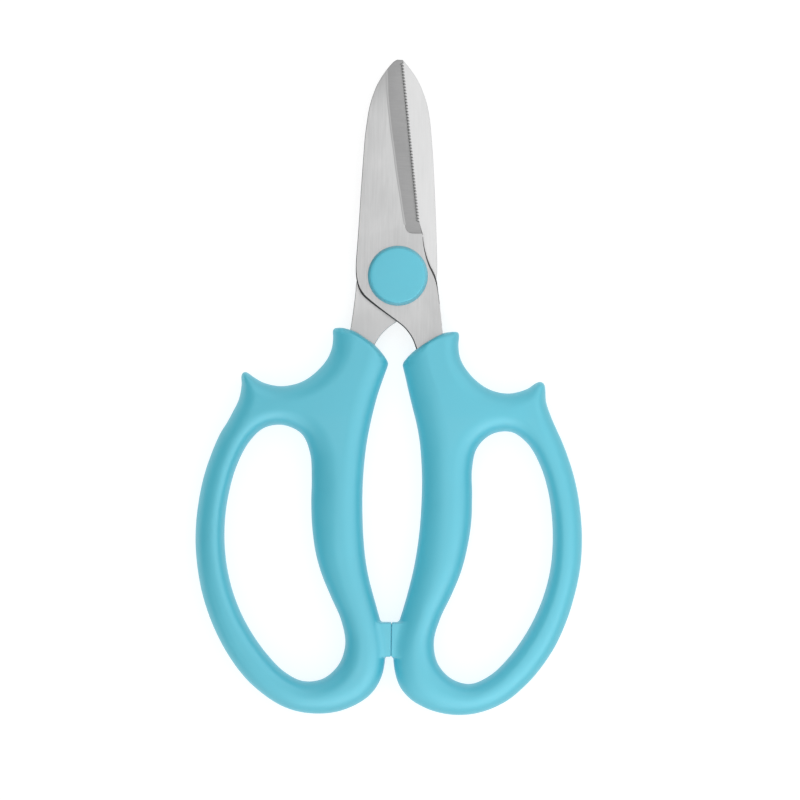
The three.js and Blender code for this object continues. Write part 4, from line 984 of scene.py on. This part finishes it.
right = step_range(sep.outputs[0], 0.15, 0.85, 0.0, 0.70)
front = step_range(sep.outputs[1], -0.35, -0.9, 0.0, 0.95)
behind = step_range(sep.outputs[1], 0.35, 0.9, 0.0, 0.55)
# dark to the left at mid height, evener low round the horizon
base = step_range(sep.outputs[2], 0.55, 0.90, 0.10, 0.30)
lift = math_node(nt, "MULTIPLY", step_range(sep.outputs[2], 0.52, 0.40, 0.0, 0.85), step_range(sep.outputs[1], 0.15, 0.60, 0.0, 1.0))
corner = math_node(nt, "MULTIPLY", step_range(sep.outputs[0], 0.25, 0.60, 0.0, 1.0), step_range(sep.outputs[1], -0.25, -0.60, 0.0, 1.0))
corner = math_node(nt, "MULTIPLY", corner, step_range(sep.outputs[2], 0.40, 0.20, 0.0, 0.60))
near = math_node(nt, "MULTIPLY", step_range(sep.outputs[2], 0.55, 0.28, 0.0, 0.95), step_range(sep.outputs[1], -0.58, -0.92, 0.0, 1.0))
beside = math_node(nt, "MULTIPLY", step_range(sep.outputs[2], 0.55, 0.30, 0.0, 0.60), step_range(sep.outputs[0], 0.60, 0.92, 0.0, 1.0))
level = math_node(nt, "ADD", math_node(nt, "ADD", right, front), math_node(nt, "ADD", behind, base))
level = math_node(nt, "SUBTRACT", math_node(nt, "ADD", level, math_node(nt, "ADD", lift, near)), corner)
opposite = math_node(nt, "MULTIPLY", step_range(sep.outputs[0], -0.25, -0.60, 0.0, 0.30), step_range(sep.outputs[1], 0.25, 0.60, 0.0, 1.0))
opposite = math_node(nt, "MULTIPLY", opposite, step_range(sep.outputs[2], 0.65, 0.48, 0.0, 1.0))
level = math_node(nt, "ADD", level, math_node(nt, "ADD", beside, opposite))
path = nt.nodes.new("ShaderNodeLightPath")
pick = nt.nodes.new("ShaderNodeMix")
nt.links.new(path.outputs["Is Diffuse Ray"], pick.inputs["Factor"])
nt.links.new(level, pick.inputs["A"])
slant = math_node(nt, "ADD", math_node(nt, "MULTIPLY", sep.outputs[0], -0.26), math_node(nt, "MULTIPLY", sep.outputs[1], -0.025))
aside = math_node(nt, "ADD", math_node(nt, "MULTIPLY", sep.outputs[0], -0.92), math_node(nt, "MULTIPLY", sep.outputs[1], 0.38))
aside = step_range(aside, 0.40, 1.0, 0.0, -0.565)
nt.links.new(math_node(nt, "ADD", math_node(nt, "ADD", slant, 0.885), aside), pick.inputs["B"])
bg = nt.nodes.new("ShaderNodeBackground")
nt.links.new(pick.outputs["Result"], bg.inputs[1])
back = nt.nodes.new("ShaderNodeBackground")
back.inputs[0].default_value = (0.93, 0.935, 0.94, 1)
mixer = nt.nodes.new("ShaderNodeMixShader")
wo = nt.nodes.new("ShaderNodeOutputWorld")
nt.links.new(path.outputs["Is Camera Ray"], mixer.inputs[0])
nt.links.new(bg.outputs[0], mixer.inputs[1])
nt.links.new(back.outputs[0], mixer.inputs[2])
nt.links.new(mixer.outputs[0], wo.inputs[0])


def softbox(name, x0, x1, y0, y1, z, radiance, diffuse=True, glossy=True):
    data = bpy.data.lights.new(name, "AREA")
    data.shape = "RECTANGLE"
    data.size, data.size_y = x1 - x0, y1 - y0
    data.energy = radiance * math.pi * (x1 - x0) * (y1 - y0)
    o = bpy.data.objects.new(name, data)
    bpy.context.scene.collection.objects.link(o)
    o.location = (0.5 * (x0 + x1), 0.5 * (y0 + y1), z)
    o.visible_camera = False
    o.visible_diffuse = diffuse
    o.visible_glossy = glossy
    return o


# one overhead softbox; its sheen on satin plastic and steel is set apart from its share of the fill
softbox("softbox_sheen", -0.057, 0.45, -0.50, 0.40, 0.186, 1.385, diffuse=False)
softbox("softbox_front_sheen", -0.40, 0.45, -0.80, -0.118, 0.190, 1.12, diffuse=False)
softbox("softbox_right_sheen", 0.07, 0.45, -0.50, 0.10, 0.188, 0.25, diffuse=False)
softbox("softbox_fill", -0.057, 0.45, -0.50, 0.40, 0.194, 0.28, glossy=False)
softbox("softbox_front_fill", 0.05, 0.25, -0.30, -0.05, 0.150, 0.16, glossy=False)

cam_data = bpy.data.cameras.new("camera")
cam = bpy.data.objects.new("camera", cam_data)
scene.collection.objects.link(cam)
scene.camera = cam
cam_data.sensor_width = 36.0
DIST = 1.2
cam_data.lens = 36.0 * DIST / 0.24775
cam_data.clip_end = 20.0
cam.location = (0.001 * (1.36 + PIVOT[0]), 0.001 * (-38.39 + PIVOT[1]), DIST + 0.006)
cam.rotation_euler = (0, 0, math.radians(1.05))
cam_data.dof.use_dof = False
